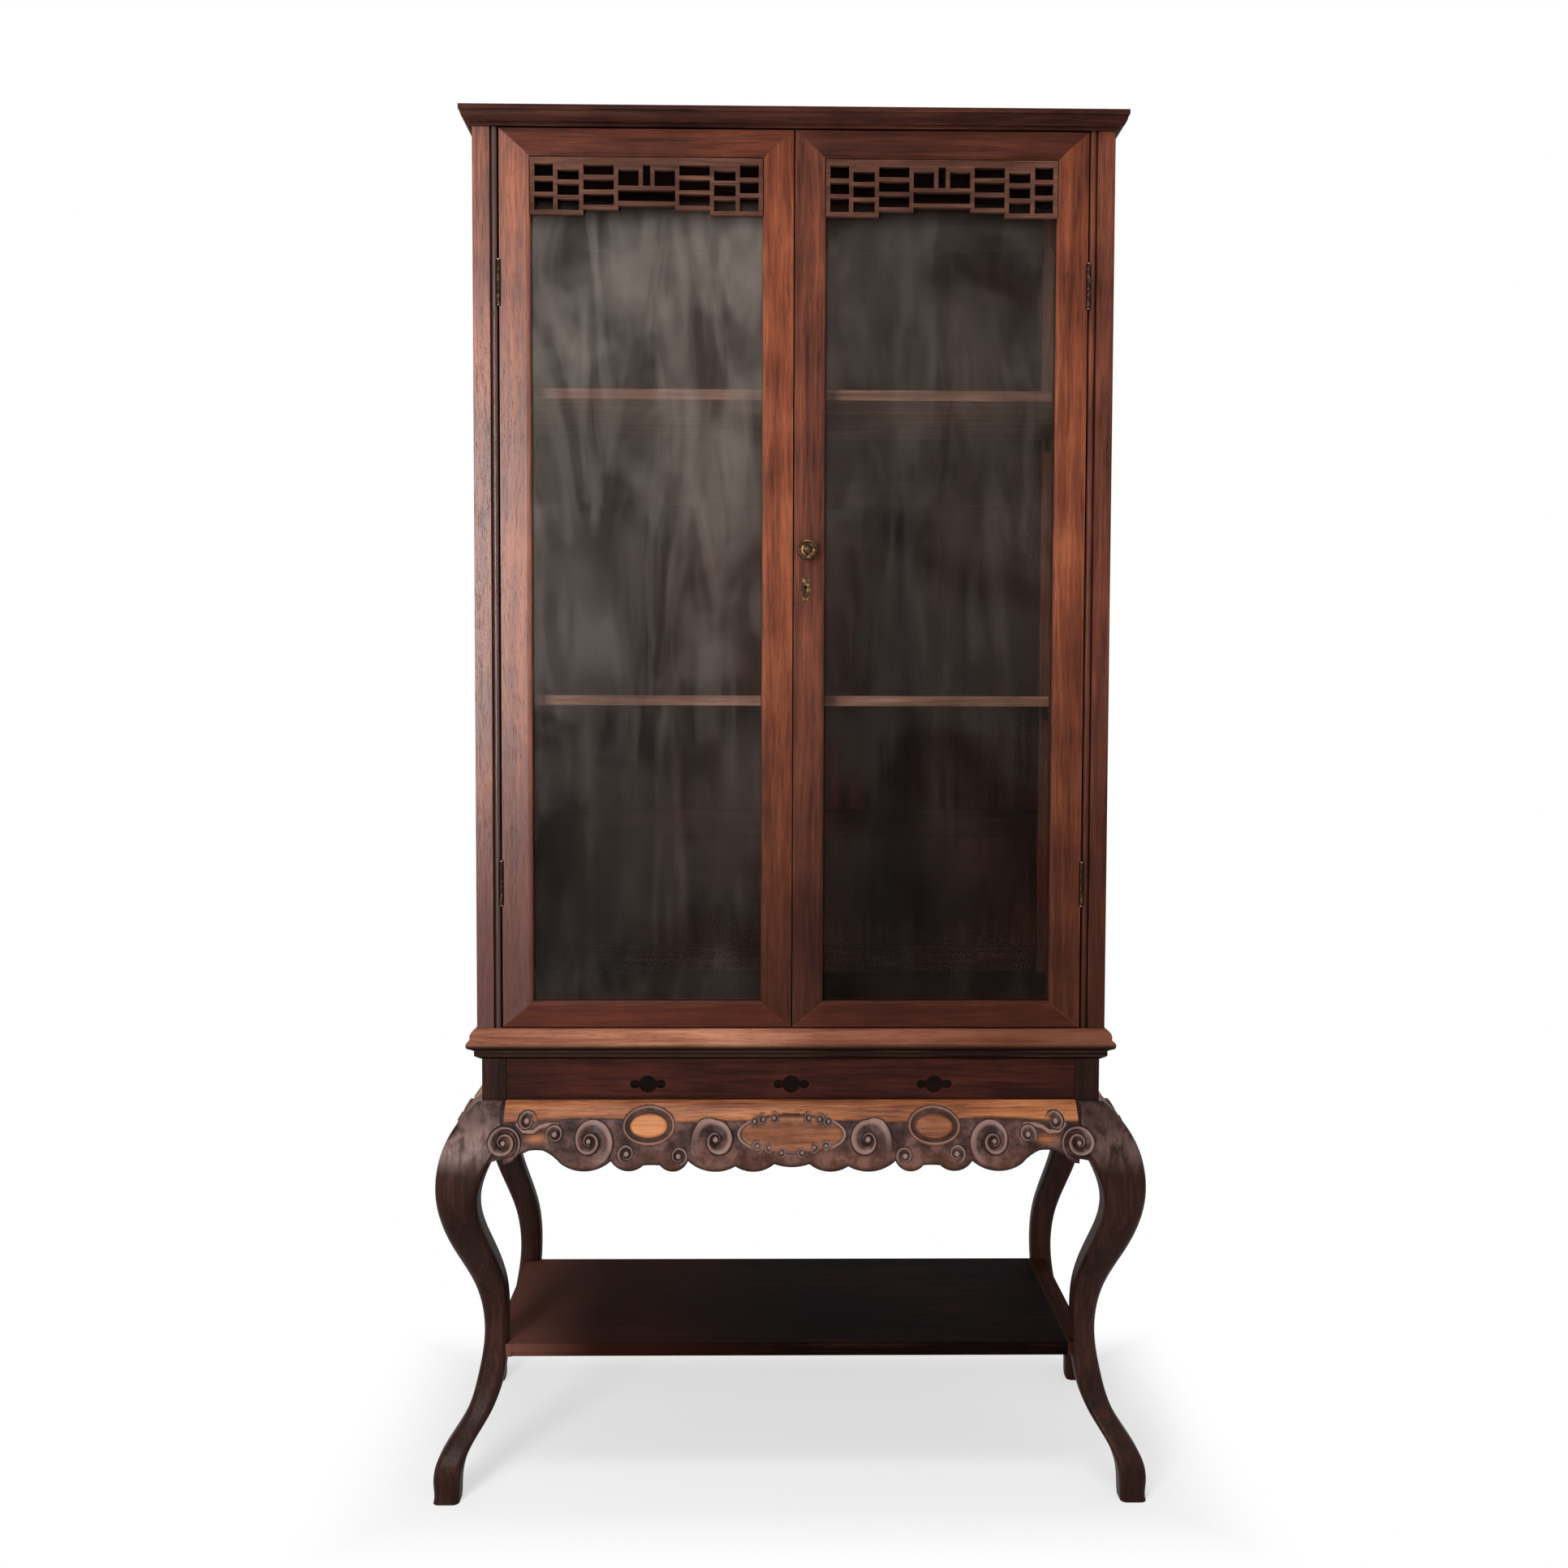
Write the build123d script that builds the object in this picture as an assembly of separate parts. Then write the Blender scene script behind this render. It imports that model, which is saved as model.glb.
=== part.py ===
from build123d import *
import os

# A tall Chinese book cabinet: a glazed two-door case on a stand with a pierced waist, scalloped
# bulging aprons, cabriole legs and a low shelf. Millimetres, +Z up, the doors face -Y.
# The origin lies on the floor, below the middle of the whole cabinet.

# ---------------------------------------------------------------- driving dimensions
total_height = 1900
case_half_width = 436
case_depth = 384
stand_height = 648
seat_gap = 2            # air round each door
chip = 1                # how far a cutting block runs past what it cuts

# cornice
cornice_height = 24
cornice_overhang = 16
cornice_width = 40      # from the case's face inwards
cornice_fillet = 6      # height of the plain fillet at the top
cornice_step = 2        # how far the ovolo stands back under that fillet
cornice_swell = 2       # of the ovolo past a straight slope
cornice_ovolo_foot = 8  # reach of the ovolo's lower edge
cornice_foot = 4        # height of the lower fillet
cornice_foot_reach = 3.5
top_panel_thickness = 8
top_panel_recess = 9
tongue = 6              # how far a panel runs into its groove

# case
post = 34
post_bead = 9.5         # bead along the inner front edge of each front post
post_quirk = 1.2        # groove beside that bead
rail_thickness = 22
side_rail_height = 60
back_rail_height = 40
lower_back_rail_level = 260   # middle above the bottom of the case
upper_back_rail_level = 785
panel_thickness = 8
panel_recess = 7
head_rail_height = 29
head_rail_depth = 20
floor_board_thickness = 20
shelf_thickness = 14
lower_shelf_level = 442       # upper face above the floor board
upper_shelf_level = 867
shelf_setback = 45
shelf_clearance = 0.5
cleat_height = 20
cleat_width = 15

# doors
door_thickness = 22
stile_width = 42
top_rail_height = 38
bottom_rail_height = 36
sight_bead = 4.5        # radius of the rounded edge round the glass
sight_quirk = 0.8       # step that sets this edge off from the face
rabbet_width = 9
glass_setback = 9
glass_thickness = 3
glass_clearance = 0.5
glazing_bead_width = 10

# fretwork over the glass
fret_bar = 5.5
fret_setback = 1
fret_columns = (0.05, 0.263, 0.562, 0.784)    # middles of the upright bars, as shares of half the width
fret_bar_drops = (                            # lower edge of each cross bar, below the top rail
    (9.5, 43),                                # between the two middle bars
    (16, 43),                                 # small squares
    (9.5, 29, 48.5, 69),
    (16.5, 35.5, 56, 76),
    (8.5, 31, 52, 76),
)
fret_long_cell_drop = 63.5                    # lower edge of the bar below the middle squares

# hinges
hinge_from_bottom = 200  # from the door's lower edge to the hinge's middle
hinge_from_top = 206
hinge_length = 60
hinge_leaf_thickness = 1.2
hinge_leaf_depth = 18
hinge_axis_ahead = 1    # the pin stands this far in front of the case
knuckle_radius = 2.75
knuckle_recess_gap = 0.45
knuckle_gap = 0.2
pin_radius = 1.25
pin_running_gap = 0.05
pin_head_radius = 2.2
pin_head_height = 1.2

# lock, knob and bolt
knob_above_bottom = 658  # above the door's lower edge
knob_from_edge = 18
knob_radius = 14
knob_reach = 20
knob_stem_radius = 3
knob_stem_depth = 12
keyhole_below_knob = 52.5
keyhole_from_edge = 16
escutcheon_width = 14
escutcheon_height = 33
escutcheon_thickness = 1
keyhole_radius = 2.2
keyhole_slot_width = 2.6
keyhole_slot_drop = 9
lock_case_width = 30
lock_case_height = 50
lock_case_thickness = 10
lock_bolt_length = 24
lock_bolt_height = 12
lock_bolt_thickness = 5
lock_bolt_setback = 0.5
lock_bolt_throw = 9
slide_gap = 0.3
strike_gap = 0.8
door_bolt_radius = 3
door_bolt_length = 68
door_bolt_throw = 10
door_bolt_below_rail = 4
door_bolt_offset = 5    # rod middle behind the door's back
bolt_plate_width = 18
bolt_plate_height = 60
bolt_plate_thickness = 2
bolt_staple_width = 12
bolt_staple_height = 7
bolt_staple_wall = 2
bolt_knob_radius = 2
bolt_knob_reach = 9

# stand: moulded frame and waist
stand_frame_height = 44
stand_frame_width = 60
stand_frame_reach = 14  # of the lower bead past the case
stand_upper_bead = 14   # heights of the mouldings, from the top down
stand_bead_quirk = 2
stand_lower_bead = 12
stand_undercut = 3
stand_fillet = 7
stand_upper_reach = 9   # of the upper bead's foot and of the fillet
stand_fillet_reach = 4
waist_height = 58
waist_inset = 5.5       # leg stubs behind the face of the case
waist_board_recess = 2
waist_board_thickness = 14
leg_stub = 33
piercing_spacing = 200
piercing_rise = 22      # above the lower edge of the waist
piercing_half_width = 25
piercing_end_radius = 6.5
piercing_middle_radius = 12.5

# stand: aprons
apron_thickness = 22
apron_bulge = ((0, 0), (21, 21), (51, 39), (81, 48), (100, 50))   # (below the top, outwards)
apron_setback = 1.5     # of the board's face behind the faces of the legs
apron_tuck = 24         # how far each end runs past the leg's shoulder before it is fitted to it
rear_apron_height = 82
# One half of an apron's lower edge, from its middle outwards. A lobe is an arc, given as (place of
# its crown, drop there, place of its end, drop there). Places are shares of the scalloped length,
# drops are measured below the apron's top.
middle_drop = 80
front_lobes = (
    (0.038, 79, 0.076, 76),
    (0.161, 86, 0.244, 79),
    (0.329, 86, 0.449, 72),
    (0.497, 85, 0.570, 77.5),
    (0.608, 77, 0.642, 77.5),
    (0.715, 85, 0.782, 72),
    (0.877, 85, 1, 75),
)
side_lobes = (
    (0.17, 79, 0.34, 76),
    (0.63, 86, 1, 75),
)
# the rise beside a leg, whose places are measured back from the apron's end
spandrel_length = 108
spandrel = ((98, 66, 84, 58.5), (74, 57.8, 65, 58.5), (46, 65.5, 20, 71), (10, 75, 0, 81))

# stand: legs. The shoulder follows the apron's bulge and gives (width, corner radius) at each of
# its first levels. Below it a row is (share of the height under the shoulder, reach outwards
# past the case, width, corner radius).
front_shoulder = ((36, 3), (57, 4), (74, 5), (69, 8))
front_leg_curve = (
    (0.903, 51, 57, 14),
    (0.753, 33, 53, 15),
    (0.613, 5, 42, 12),
    (0.456, -5.5, 33, 10),
    (0.340, 2, 36, 10),
    (0.237, 16.5, 35, 10),
    (0.161, 40, 36, 9),
    (0.108, 52.5, 38, 9),
    (0.054, 55.2, 37, 9),
    (0, 55.5, 36, 9),
)
rear_shoulder = ((36, 3), (57, 4), (74, 5), (66, 8))
rear_leg_curve = (
    (0.903, 48, 50, 10),
    (0.753, 30, 43, 10),
    (0.613, 3, 37, 10),
    (0.456, -5.5, 33, 10),
    (0.340, 2, 35, 10),
    (0.237, 16.5, 34, 10),
    (0.161, 40, 35, 9),
    (0.108, 52.5, 36, 9),
    (0.054, 55.2, 35, 9),
    (0, 55.5, 34, 9),
)
rear_leg_depth = 33
rear_leg_inset = 6

# stand: low shelf
low_shelf_top = 199
low_shelf_thickness = 18
low_shelf_inset = 16    # of each end behind the side of the case
low_shelf_end_rail = 28
low_shelf_front = 8
low_shelf_rear_inset = 30
low_shelf_rail = 14
low_shelf_step = 2

# ---------------------------------------------------------------- places worked out from them
foot_reach = front_leg_curve[-1][1]
front = foot_reach - (case_depth + foot_reach) / 2
rear = front + case_depth
case_top = total_height - cornice_height
door_bottom = stand_height + seat_gap
door_top = case_top - seat_gap
door_outer = case_half_width - post - seat_gap
door_meeting = seat_gap / 2
door_back = front + door_thickness
sight_outer = door_outer - stile_width
sight_inner = door_meeting + stile_width
sight_top = door_top - top_rail_height
sight_bottom = door_bottom + bottom_rail_height
sight_middle = (sight_outer + sight_inner) / 2
glass_front = front + glass_setback
glass_back = glass_front + glass_thickness
stop_front = door_back + seat_gap
floor_board_top = stand_height + floor_board_thickness
rail_inner = case_half_width - rail_thickness
back_rail_front = rear - rail_thickness
shelf_tops = (floor_board_top + lower_shelf_level, floor_board_top + upper_shelf_level)
hinge_heights = (door_bottom + hinge_from_bottom, door_top - hinge_from_top)
hinge_x = door_outer + seat_gap / 2
hinge_y = front - hinge_axis_ahead
recess_radius = knuckle_radius + knuckle_recess_gap
knob_x = door_meeting + knob_from_edge
knob_height = door_bottom + knob_above_bottom
keyhole_height = knob_height - keyhole_below_knob
keyhole_x = door_meeting + keyhole_from_edge
lock_case_front = door_back - lock_case_thickness
bolt_slot_y = (lock_case_front + door_back) / 2
door_bolt_x = -(sight_inner + door_meeting) / 2
door_bolt_y = door_back + door_bolt_offset
head_rail_bottom = case_top - head_rail_height
door_bolt_top = head_rail_bottom - door_bolt_below_rail
stand_frame_bottom = stand_height - stand_frame_height
waist_bottom = stand_frame_bottom - waist_height
stub_outer = case_half_width - waist_inset
stub_inner = stub_outer - leg_stub
rear_leg_back = rear - rear_leg_inset
rear_leg_front = rear_leg_back - rear_leg_depth
leg_inner = front_shoulder[0][0]
apron_end = case_half_width - leg_inner + apron_tuck


# ---------------------------------------------------------------- helpers
def block(x0, x1, y0, y1, z0, z1):
    """Box between two corners."""
    return Pos((x0 + x1) / 2, (y0 + y1) / 2, (z0 + z1) / 2) * Box(x1 - x0, y1 - y0, z1 - z0)


def upright(x, y, z0, z1, radius):
    """Vertical cylinder."""
    return Pos(x, y, (z0 + z1) / 2) * Cylinder(radius, z1 - z0)


def plan_prism(points, z0, z1):
    """Upright prism over an outline seen from above."""
    return extrude(Pos(0, 0, z0) * make_face(Polyline(*points, close=True)), amount=z1 - z0)


def front_prism(outline, y0, y1):
    """Prism along Y over an outline seen from the front, drawn as (x, z)."""
    return extrude(Plane.XZ.offset(-y1) * outline, amount=y1 - y0)


def along_x(profile, x0, x1):
    """Bar along X with a section drawn as (y, z)."""
    return extrude(Plane.YZ.offset(x0) * profile, amount=x1 - x0)


def mirrored(solid):
    """The same piece for the other side of the cabinet."""
    return mirror(solid, about=Plane.YZ)


def both_sides(solid):
    """A piece and its mirror image as one group."""
    return [solid, mirrored(solid)]


def mitred_front(profile, inner_width, reach, z0, z1):
    """Front member of a moulded frame: its section is drawn as (y from the case's face, z)."""
    half = case_half_width
    bar = along_x(Pos(front, 0) * profile, -half - reach, half + reach)
    corners = (
        (-half - reach, front - reach),
        (half + reach, front - reach),
        (half - inner_width, front + inner_width),
        (-half + inner_width, front + inner_width),
    )
    return bar & plan_prism(corners, z0, z1)


def mitred_side(profile, inner_width, reach, z0, z1):
    """Right-hand member of the same frame, square at the back."""
    half = case_half_width
    bar = extrude(Plane.XZ.offset(-rear) * Pos(half, 0) * mirror(profile, about=Plane.YZ),
                  amount=case_depth + reach)
    corners = (
        (half + reach, front - reach),
        (half + reach, rear),
        (half - inner_width, rear),
        (half - inner_width, front + inner_width),
    )
    return bar & plan_prism(corners, z0, z1)


# ---------------------------------------------------------------- cornice
def cornice_profile():
    """Lower fillet, ovolo and top fillet, with the panel's groove on the inside."""
    groove_top = total_height - top_panel_recess
    groove_bottom = groove_top - top_panel_thickness
    foot_top = case_top + cornice_foot
    ovolo_top = total_height - cornice_fillet
    ovolo_reach = cornice_overhang - cornice_step
    lines = Polyline((-cornice_ovolo_foot, foot_top), (-cornice_foot_reach, foot_top),
                     (-cornice_foot_reach, case_top), (cornice_width, case_top),
                     (cornice_width, groove_bottom), (cornice_width - tongue, groove_bottom),
                     (cornice_width - tongue, groove_top), (cornice_width, groove_top),
                     (cornice_width, total_height), (-cornice_overhang, total_height),
                     (-cornice_overhang, ovolo_top), (-ovolo_reach, ovolo_top))
    crown = (-(ovolo_reach + cornice_ovolo_foot) / 2 - cornice_swell, (ovolo_top + foot_top) / 2)
    ovolo = ThreePointArc((-ovolo_reach, ovolo_top), crown, (-cornice_ovolo_foot, foot_top))
    return make_face(lines + ovolo)


def cornice():
    profile = cornice_profile()
    span = (cornice_width, cornice_overhang, case_top, total_height)
    right = mitred_side(profile, *span)
    inner = case_half_width - cornice_width
    groove_top = total_height - top_panel_recess
    back_member = block(-inner, inner, rear - cornice_width, rear, case_top, total_height)
    panel = block(-inner - tongue, inner + tongue, front + cornice_width - tongue,
                  rear - cornice_width + tongue, groove_top - top_panel_thickness, groove_top)
    return {
        "cornice_front": mitred_front(profile, *span),
        "cornice_right": right,
        "cornice_left": mirrored(right),
        "cornice_back": back_member - panel,
        "cornice_top_panel": panel,
    }


# ---------------------------------------------------------------- case
def front_post():
    """Right front post: a bead on the inner front edge, cut for the hinges."""
    inner = case_half_width - post
    radius = post_bead / 2
    bead_start = inner + post_bead
    section = Polyline((bead_start + post_quirk, front), (case_half_width, front),
                       (case_half_width, front + post), (inner, front + post), (inner, front + radius))
    bead = ThreePointArc((inner, front + radius), (inner + radius, front), (bead_start, front + radius))
    quirk = Line((bead_start, front + radius), (bead_start + post_quirk, front))
    solid = extrude(Pos(0, 0, stand_height) * make_face(section + bead + quirk),
                    amount=case_top - stand_height)
    for level in hinge_heights:
        solid -= hinge_recess(level)
        solid -= frame_leaf_mortise(level)
    return solid


def rear_post():
    return block(case_half_width - post, case_half_width, rear - post, rear, stand_height, case_top)


def side_panel():
    outer = case_half_width - panel_recess
    return block(outer - panel_thickness, outer, front + post - tongue, rear - post + tongue,
                 stand_height + side_rail_height - tongue, case_top - side_rail_height + tongue)


def side_rails():
    """Upper and lower rails of the right side, between the posts."""
    rails = []
    for bottom in (stand_height, case_top - side_rail_height):
        rail = block(rail_inner, case_half_width, front + post, rear - post,
                     bottom, bottom + side_rail_height)
        rails.append(rail - side_panel())
    return rails


def back_rail_spans():
    """Lower and upper edge of each back rail, from the bottom up."""
    spans = [(stand_height, stand_height + side_rail_height)]
    for level in (lower_back_rail_level, upper_back_rail_level):
        middle = stand_height + level
        spans.append((middle - back_rail_height / 2, middle + back_rail_height / 2))
    spans.append((case_top - side_rail_height, case_top))
    return spans


def back_panels():
    """A panel between each two back rails, held in grooves all round."""
    inner = case_half_width - post
    back = rear - panel_recess
    spans = back_rail_spans()
    panels = []
    for lower, upper in zip(spans, spans[1:]):
        panels.append(block(-inner - tongue, inner + tongue, back - panel_thickness, back,
                            lower[1] - tongue, upper[0] + tongue))
    return panels


def back_rails():
    inner = case_half_width - post
    rails = []
    for bottom, top in back_rail_spans():
        rail = block(-inner, inner, back_rail_front, rear, bottom, top)
        for panel in back_panels():
            rail -= panel
        rails.append(rail)
    return rails


def floor_board():
    """Bottom of the case, whose front edge is the stop for the doors."""
    board = block(-rail_inner, rail_inner, stop_front, back_rail_front, stand_height, floor_board_top)
    for solid in both_sides(front_post()) + both_sides(rear_post()):
        board -= solid
    return board


def head_rail():
    """Rail behind the tops of the doors, with the hole for the door bolt."""
    inner = case_half_width - post
    rail = block(-inner, inner, stop_front, stop_front + head_rail_depth, head_rail_bottom, case_top)
    hole_top = head_rail_bottom + 2 * door_bolt_throw
    return rail - upright(door_bolt_x, door_bolt_y, head_rail_bottom - chip, hole_top,
                          door_bolt_radius + slide_gap)


def book_shelf(top):
    reach = case_half_width - panel_recess - panel_thickness - shelf_clearance
    shelf = block(-reach, reach, front + shelf_setback, back_rail_front - shelf_clearance,
                  top - shelf_thickness, top)
    edge = case_half_width - post - shelf_clearance
    notch = block(edge, case_half_width, rear - post - shelf_clearance, rear, top - shelf_thickness - chip,
                  top + chip)
    return shelf - notch - mirrored(notch)


def cleats():
    """Strips on the side panels that carry the shelves."""
    outer = case_half_width - panel_recess - panel_thickness
    strips = []
    for top in shelf_tops:
        seat = top - shelf_thickness
        strip = block(outer - cleat_width, outer, front + post, rear - post, seat - cleat_height, seat)
        strips += both_sides(strip)
    return strips


# ---------------------------------------------------------------- hinges
def hinge_recess(level):
    """Room for the barrel in the post and in the door."""
    half = hinge_length / 2 + pin_head_height + knuckle_gap
    return upright(hinge_x, hinge_y, level - half, level + half, recess_radius)


def frame_leaf_mortise(level):
    half = hinge_length / 2
    edge = case_half_width - post
    return block(edge, edge + hinge_leaf_thickness, hinge_y, front + hinge_leaf_depth,
                 level - half, level + half)


def door_leaf_mortise(level):
    half = hinge_length / 2
    return block(door_outer - hinge_leaf_thickness, door_outer, hinge_y, front + hinge_leaf_depth,
                 level - half, level + half)


def knuckle_zones(level):
    """Three knuckles: the outer two belong to the post's leaf, the middle one to the door's."""
    third = hinge_length / 3
    low = level - hinge_length / 2
    return [(low + i * third + (knuckle_gap / 2 if i else 0),
             low + (i + 1) * third - (knuckle_gap / 2 if i < 2 else 0)) for i in range(3)]


def hinge_leaf(mortise, zones, level, bore):
    """Leaf that fills its mortise behind the barrel and reaches it at its own knuckles."""
    half = hinge_length / 2
    leaf = mortise - block(hinge_x - post, hinge_x + post, hinge_y - chip, hinge_y + recess_radius,
                           level - half - chip, level + half + chip)
    for bottom, top in zones:
        leaf += mortise & block(hinge_x - post, hinge_x + post, hinge_y, hinge_y + recess_radius, bottom, top)
        leaf += upright(hinge_x, hinge_y, bottom, top, knuckle_radius)
    return leaf - upright(hinge_x, hinge_y, level - half - chip, level + half + chip, bore)


def frame_leaf(level):
    zones = knuckle_zones(level)
    return hinge_leaf(frame_leaf_mortise(level), (zones[0], zones[2]), level, pin_radius)


def door_leaf(level):
    zones = knuckle_zones(level)
    return hinge_leaf(door_leaf_mortise(level), (zones[1],), level, pin_radius + pin_running_gap)


def hinge_pin(level):
    half = hinge_length / 2
    pin = upright(hinge_x, hinge_y, level - half, level + half, pin_radius)
    pin += upright(hinge_x, hinge_y, level + half, level + half + pin_head_height, pin_head_radius)
    pin += upright(hinge_x, hinge_y, level - half - pin_head_height, level - half, pin_head_radius)
    return pin


# ---------------------------------------------------------------- doors, drawn for the right side
def door_frame():
    """The whole frame before it is divided at the mitres."""
    frame = block(door_meeting, door_outer, front, door_back, door_bottom, door_top)
    frame -= block(sight_inner, sight_outer, front - chip, door_back + chip, sight_bottom, sight_top)
    step = sight_bead + sight_quirk
    frame -= block(sight_inner - step, sight_outer + step, front - chip, front + sight_quirk,
                   sight_bottom - step, sight_top + step)
    edges = [edge for edge in frame.edges().filter_by(GeomType.LINE)
             if abs(edge.center().Y - front - sight_quirk) < slide_gap
             and sight_inner - slide_gap < edge.center().X < sight_outer + slide_gap
             and sight_bottom - slide_gap < edge.center().Z < sight_top + slide_gap]
    frame = fillet(edges, sight_bead)
    frame -= block(sight_inner - rabbet_width, sight_outer + rabbet_width, glass_front, door_back + chip,
                   sight_bottom - rabbet_width, sight_top + rabbet_width)
    return frame


def door_pieces(right_hand):
    """Stiles and rails, cut for the hinges, the lock or the strike."""
    frame = door_frame()
    # each mitre leaves the glass at 45 degrees as far as the rabbet, and then makes for the corner
    knees = {(x, z): (x + sideways * rabbet_width, z + upwards * rabbet_width)
             for x, sideways in ((sight_inner, -1), (sight_outer, 1))
             for z, upwards in ((sight_bottom, -1), (sight_top, 1))}

    def member(corners, sight_corners):
        outline = [*corners, knees[sight_corners[0]], *sight_corners, knees[sight_corners[1]]]
        return frame & front_prism(make_face(Polyline(*outline, close=True)), front, door_back)

    outer_stile = member(((door_outer, door_bottom), (door_outer, door_top)),
                         ((sight_outer, sight_top), (sight_outer, sight_bottom)))
    inner_stile = member(((door_meeting, door_bottom), (door_meeting, door_top)),
                         ((sight_inner, sight_top), (sight_inner, sight_bottom)))
    top_rail = member(((door_meeting, door_top), (door_outer, door_top)),
                      ((sight_outer, sight_top), (sight_inner, sight_top)))
    bottom_rail = member(((door_meeting, door_bottom), (door_outer, door_bottom)),
                         ((sight_outer, sight_bottom), (sight_inner, sight_bottom)))
    for level in hinge_heights:
        outer_stile -= hinge_recess(level)
        outer_stile -= door_leaf_mortise(level)
    if right_hand:
        inner_stile -= lock_case_box()
        inner_stile -= keyhole_tool(front - chip, lock_case_front + chip)
        inner_stile -= knob_hole()
    else:
        inner_stile -= strike_pocket()
    return outer_stile, inner_stile, [top_rail, bottom_rail]


def door_glass():
    reach = rabbet_width - glass_clearance
    return block(sight_inner - reach, sight_outer + reach, glass_front, glass_back,
                 sight_bottom - reach, sight_top + reach)


def glazing_beads():
    """Four mitred strips that hold the glass from behind."""
    x0 = sight_inner - rabbet_width
    x1 = sight_outer + rabbet_width
    z0 = sight_bottom - rabbet_width
    z1 = sight_top + rabbet_width
    w = glazing_bead_width
    ring = block(x0, x1, glass_back, door_back, z0, z1)
    ring -= block(x0 + w, x1 - w, glass_back - chip, door_back + chip, z0 + w, z1 - w)
    outlines = (
        ((x0, z0), (x0, z1), (x0 + w, z1 - w), (x0 + w, z0 + w)),
        ((x1, z0), (x1, z1), (x1 - w, z1 - w), (x1 - w, z0 + w)),
        ((x0, z0), (x1, z0), (x1 - w, z0 + w), (x0 + w, z0 + w)),
        ((x0, z1), (x1, z1), (x1 - w, z1 - w), (x0 + w, z1 - w)),
    )
    return [ring & front_prism(make_face(Polyline(*points, close=True)), glass_back, door_back)
            for points in outlines]


def fretwork():
    """Stepped lattice under the top rail: a plate with its cells cut out."""
    half = (sight_outer - sight_inner) / 2
    bar = fret_bar
    uprights = [share * half for share in fret_columns] + [half - bar / 2]
    y0 = front + fret_setback
    y1 = glass_front
    solid = block(-half, half, y0, y1, sight_top - fret_bar_drops[-1][-1], sight_top)
    for column, drops in enumerate(fret_bar_drops):
        left = uprights[column - 1] + bar / 2 if column else -uprights[0] + bar / 2
        right = uprights[column] - bar / 2
        for upper, lower in zip(drops, drops[1:]):
            cell = block(left, right, y0 - chip, y1 + chip, sight_top - lower + bar, sight_top - upper)
            solid -= cell
            solid -= mirrored(cell)
    long_cell_half = uprights[1] - bar / 2
    solid -= block(-long_cell_half, long_cell_half, y0 - chip, y1 + chip,
                   sight_top - fret_long_cell_drop + bar, sight_top - fret_bar_drops[1][-1])
    for edge, drop in ((uprights[1], fret_long_cell_drop), (uprights[2], fret_bar_drops[2][-1])):
        solid -= block(-edge + bar / 2, edge - bar / 2, y0 - chip, y1 + chip,
                       sight_top - 2 * drop, sight_top - drop)
    return Pos(sight_middle, 0, 0) * solid


# ---------------------------------------------------------------- knob, lock and bolt
def knob_hole():
    return Pos(knob_x, front, knob_height) * Rot(90, 0, 0) * Cylinder(knob_stem_radius + pin_running_gap,
                                                                     2 * knob_stem_depth)


def knob():
    """Turned pull: collar, neck, round head with a dished and ringed face."""
    r = knob_radius
    outline = Polyline((0, -knob_stem_depth), (knob_stem_radius, -knob_stem_depth), (knob_stem_radius, 0),
                       (r * 0.5, 0), (r * 0.5, 2), (r * 0.3, 3), (r * 0.3, knob_reach * 0.4))
    head = ThreePointArc((r * 0.3, knob_reach * 0.4), (r * 0.78, knob_reach * 0.52), (r, knob_reach * 0.8))
    rim = ThreePointArc((r, knob_reach * 0.8), (r * 0.93, knob_reach * 0.95), (r * 0.8, knob_reach))
    dish = ThreePointArc((r * 0.8, knob_reach), (r * 0.56, knob_reach * 0.85), (r * 0.36, knob_reach * 0.93))
    boss = ThreePointArc((r * 0.36, knob_reach * 0.93), (r * 0.28, knob_reach * 0.97),
                         (r * 0.18, knob_reach * 0.98))
    close = Polyline((r * 0.18, knob_reach * 0.98), (0, knob_reach * 0.98), (0, -knob_stem_depth))
    section = make_face(outline + head + rim + dish + boss + close)
    turned = revolve(section, axis=Axis.Y)
    return Pos(knob_x, front, knob_height) * Rot(180, 0, 0) * turned


def keyhole_tool(y0, y1):
    """Round top and straight slot of the keyhole."""
    slot = Pos(0, -keyhole_slot_drop / 2) * Rectangle(keyhole_slot_width, keyhole_slot_drop)
    outline = Pos(keyhole_x, keyhole_height + keyhole_slot_drop / 3) * (Circle(keyhole_radius) + slot)
    return front_prism(outline, y0, y1)


def escutcheon():
    outline = Pos(keyhole_x, keyhole_height) * Ellipse(escutcheon_width / 2, escutcheon_height / 2)
    plate = front_prism(outline, front - escutcheon_thickness, front)
    return plate - keyhole_tool(front - escutcheon_thickness - chip, front + chip)


def lock_case_box():
    half = lock_case_height / 2
    return block(door_meeting, door_meeting + lock_case_width, lock_case_front, door_back,
                 keyhole_height - half, keyhole_height + half)


def bolt_box(x0, x1, gap):
    y = lock_bolt_thickness / 2 + gap
    z = lock_bolt_height / 2 + gap
    return block(x0, x1, bolt_slot_y - y, bolt_slot_y + y, keyhole_height - z, keyhole_height + z)


def lock_bolt():
    start = door_meeting + lock_bolt_setback
    return bolt_box(start, start + lock_bolt_length, 0)


def lock_case():
    """Case with the bolt's channel, open at the meeting edge, and the keyhole in its front."""
    channel_end = door_meeting + lock_bolt_setback + lock_bolt_length + slide_gap
    case = lock_case_box() - bolt_box(door_meeting - chip, channel_end, slide_gap)
    return case - keyhole_tool(lock_case_front - chip, bolt_slot_y)


def strike_pocket():
    """Pocket for the thrown lock bolt in the left door's stile, drawn on the right like the door."""
    depth = lock_bolt_throw - lock_bolt_setback + slide_gap
    return bolt_box(door_meeting - chip, door_meeting + depth, strike_gap)


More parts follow.
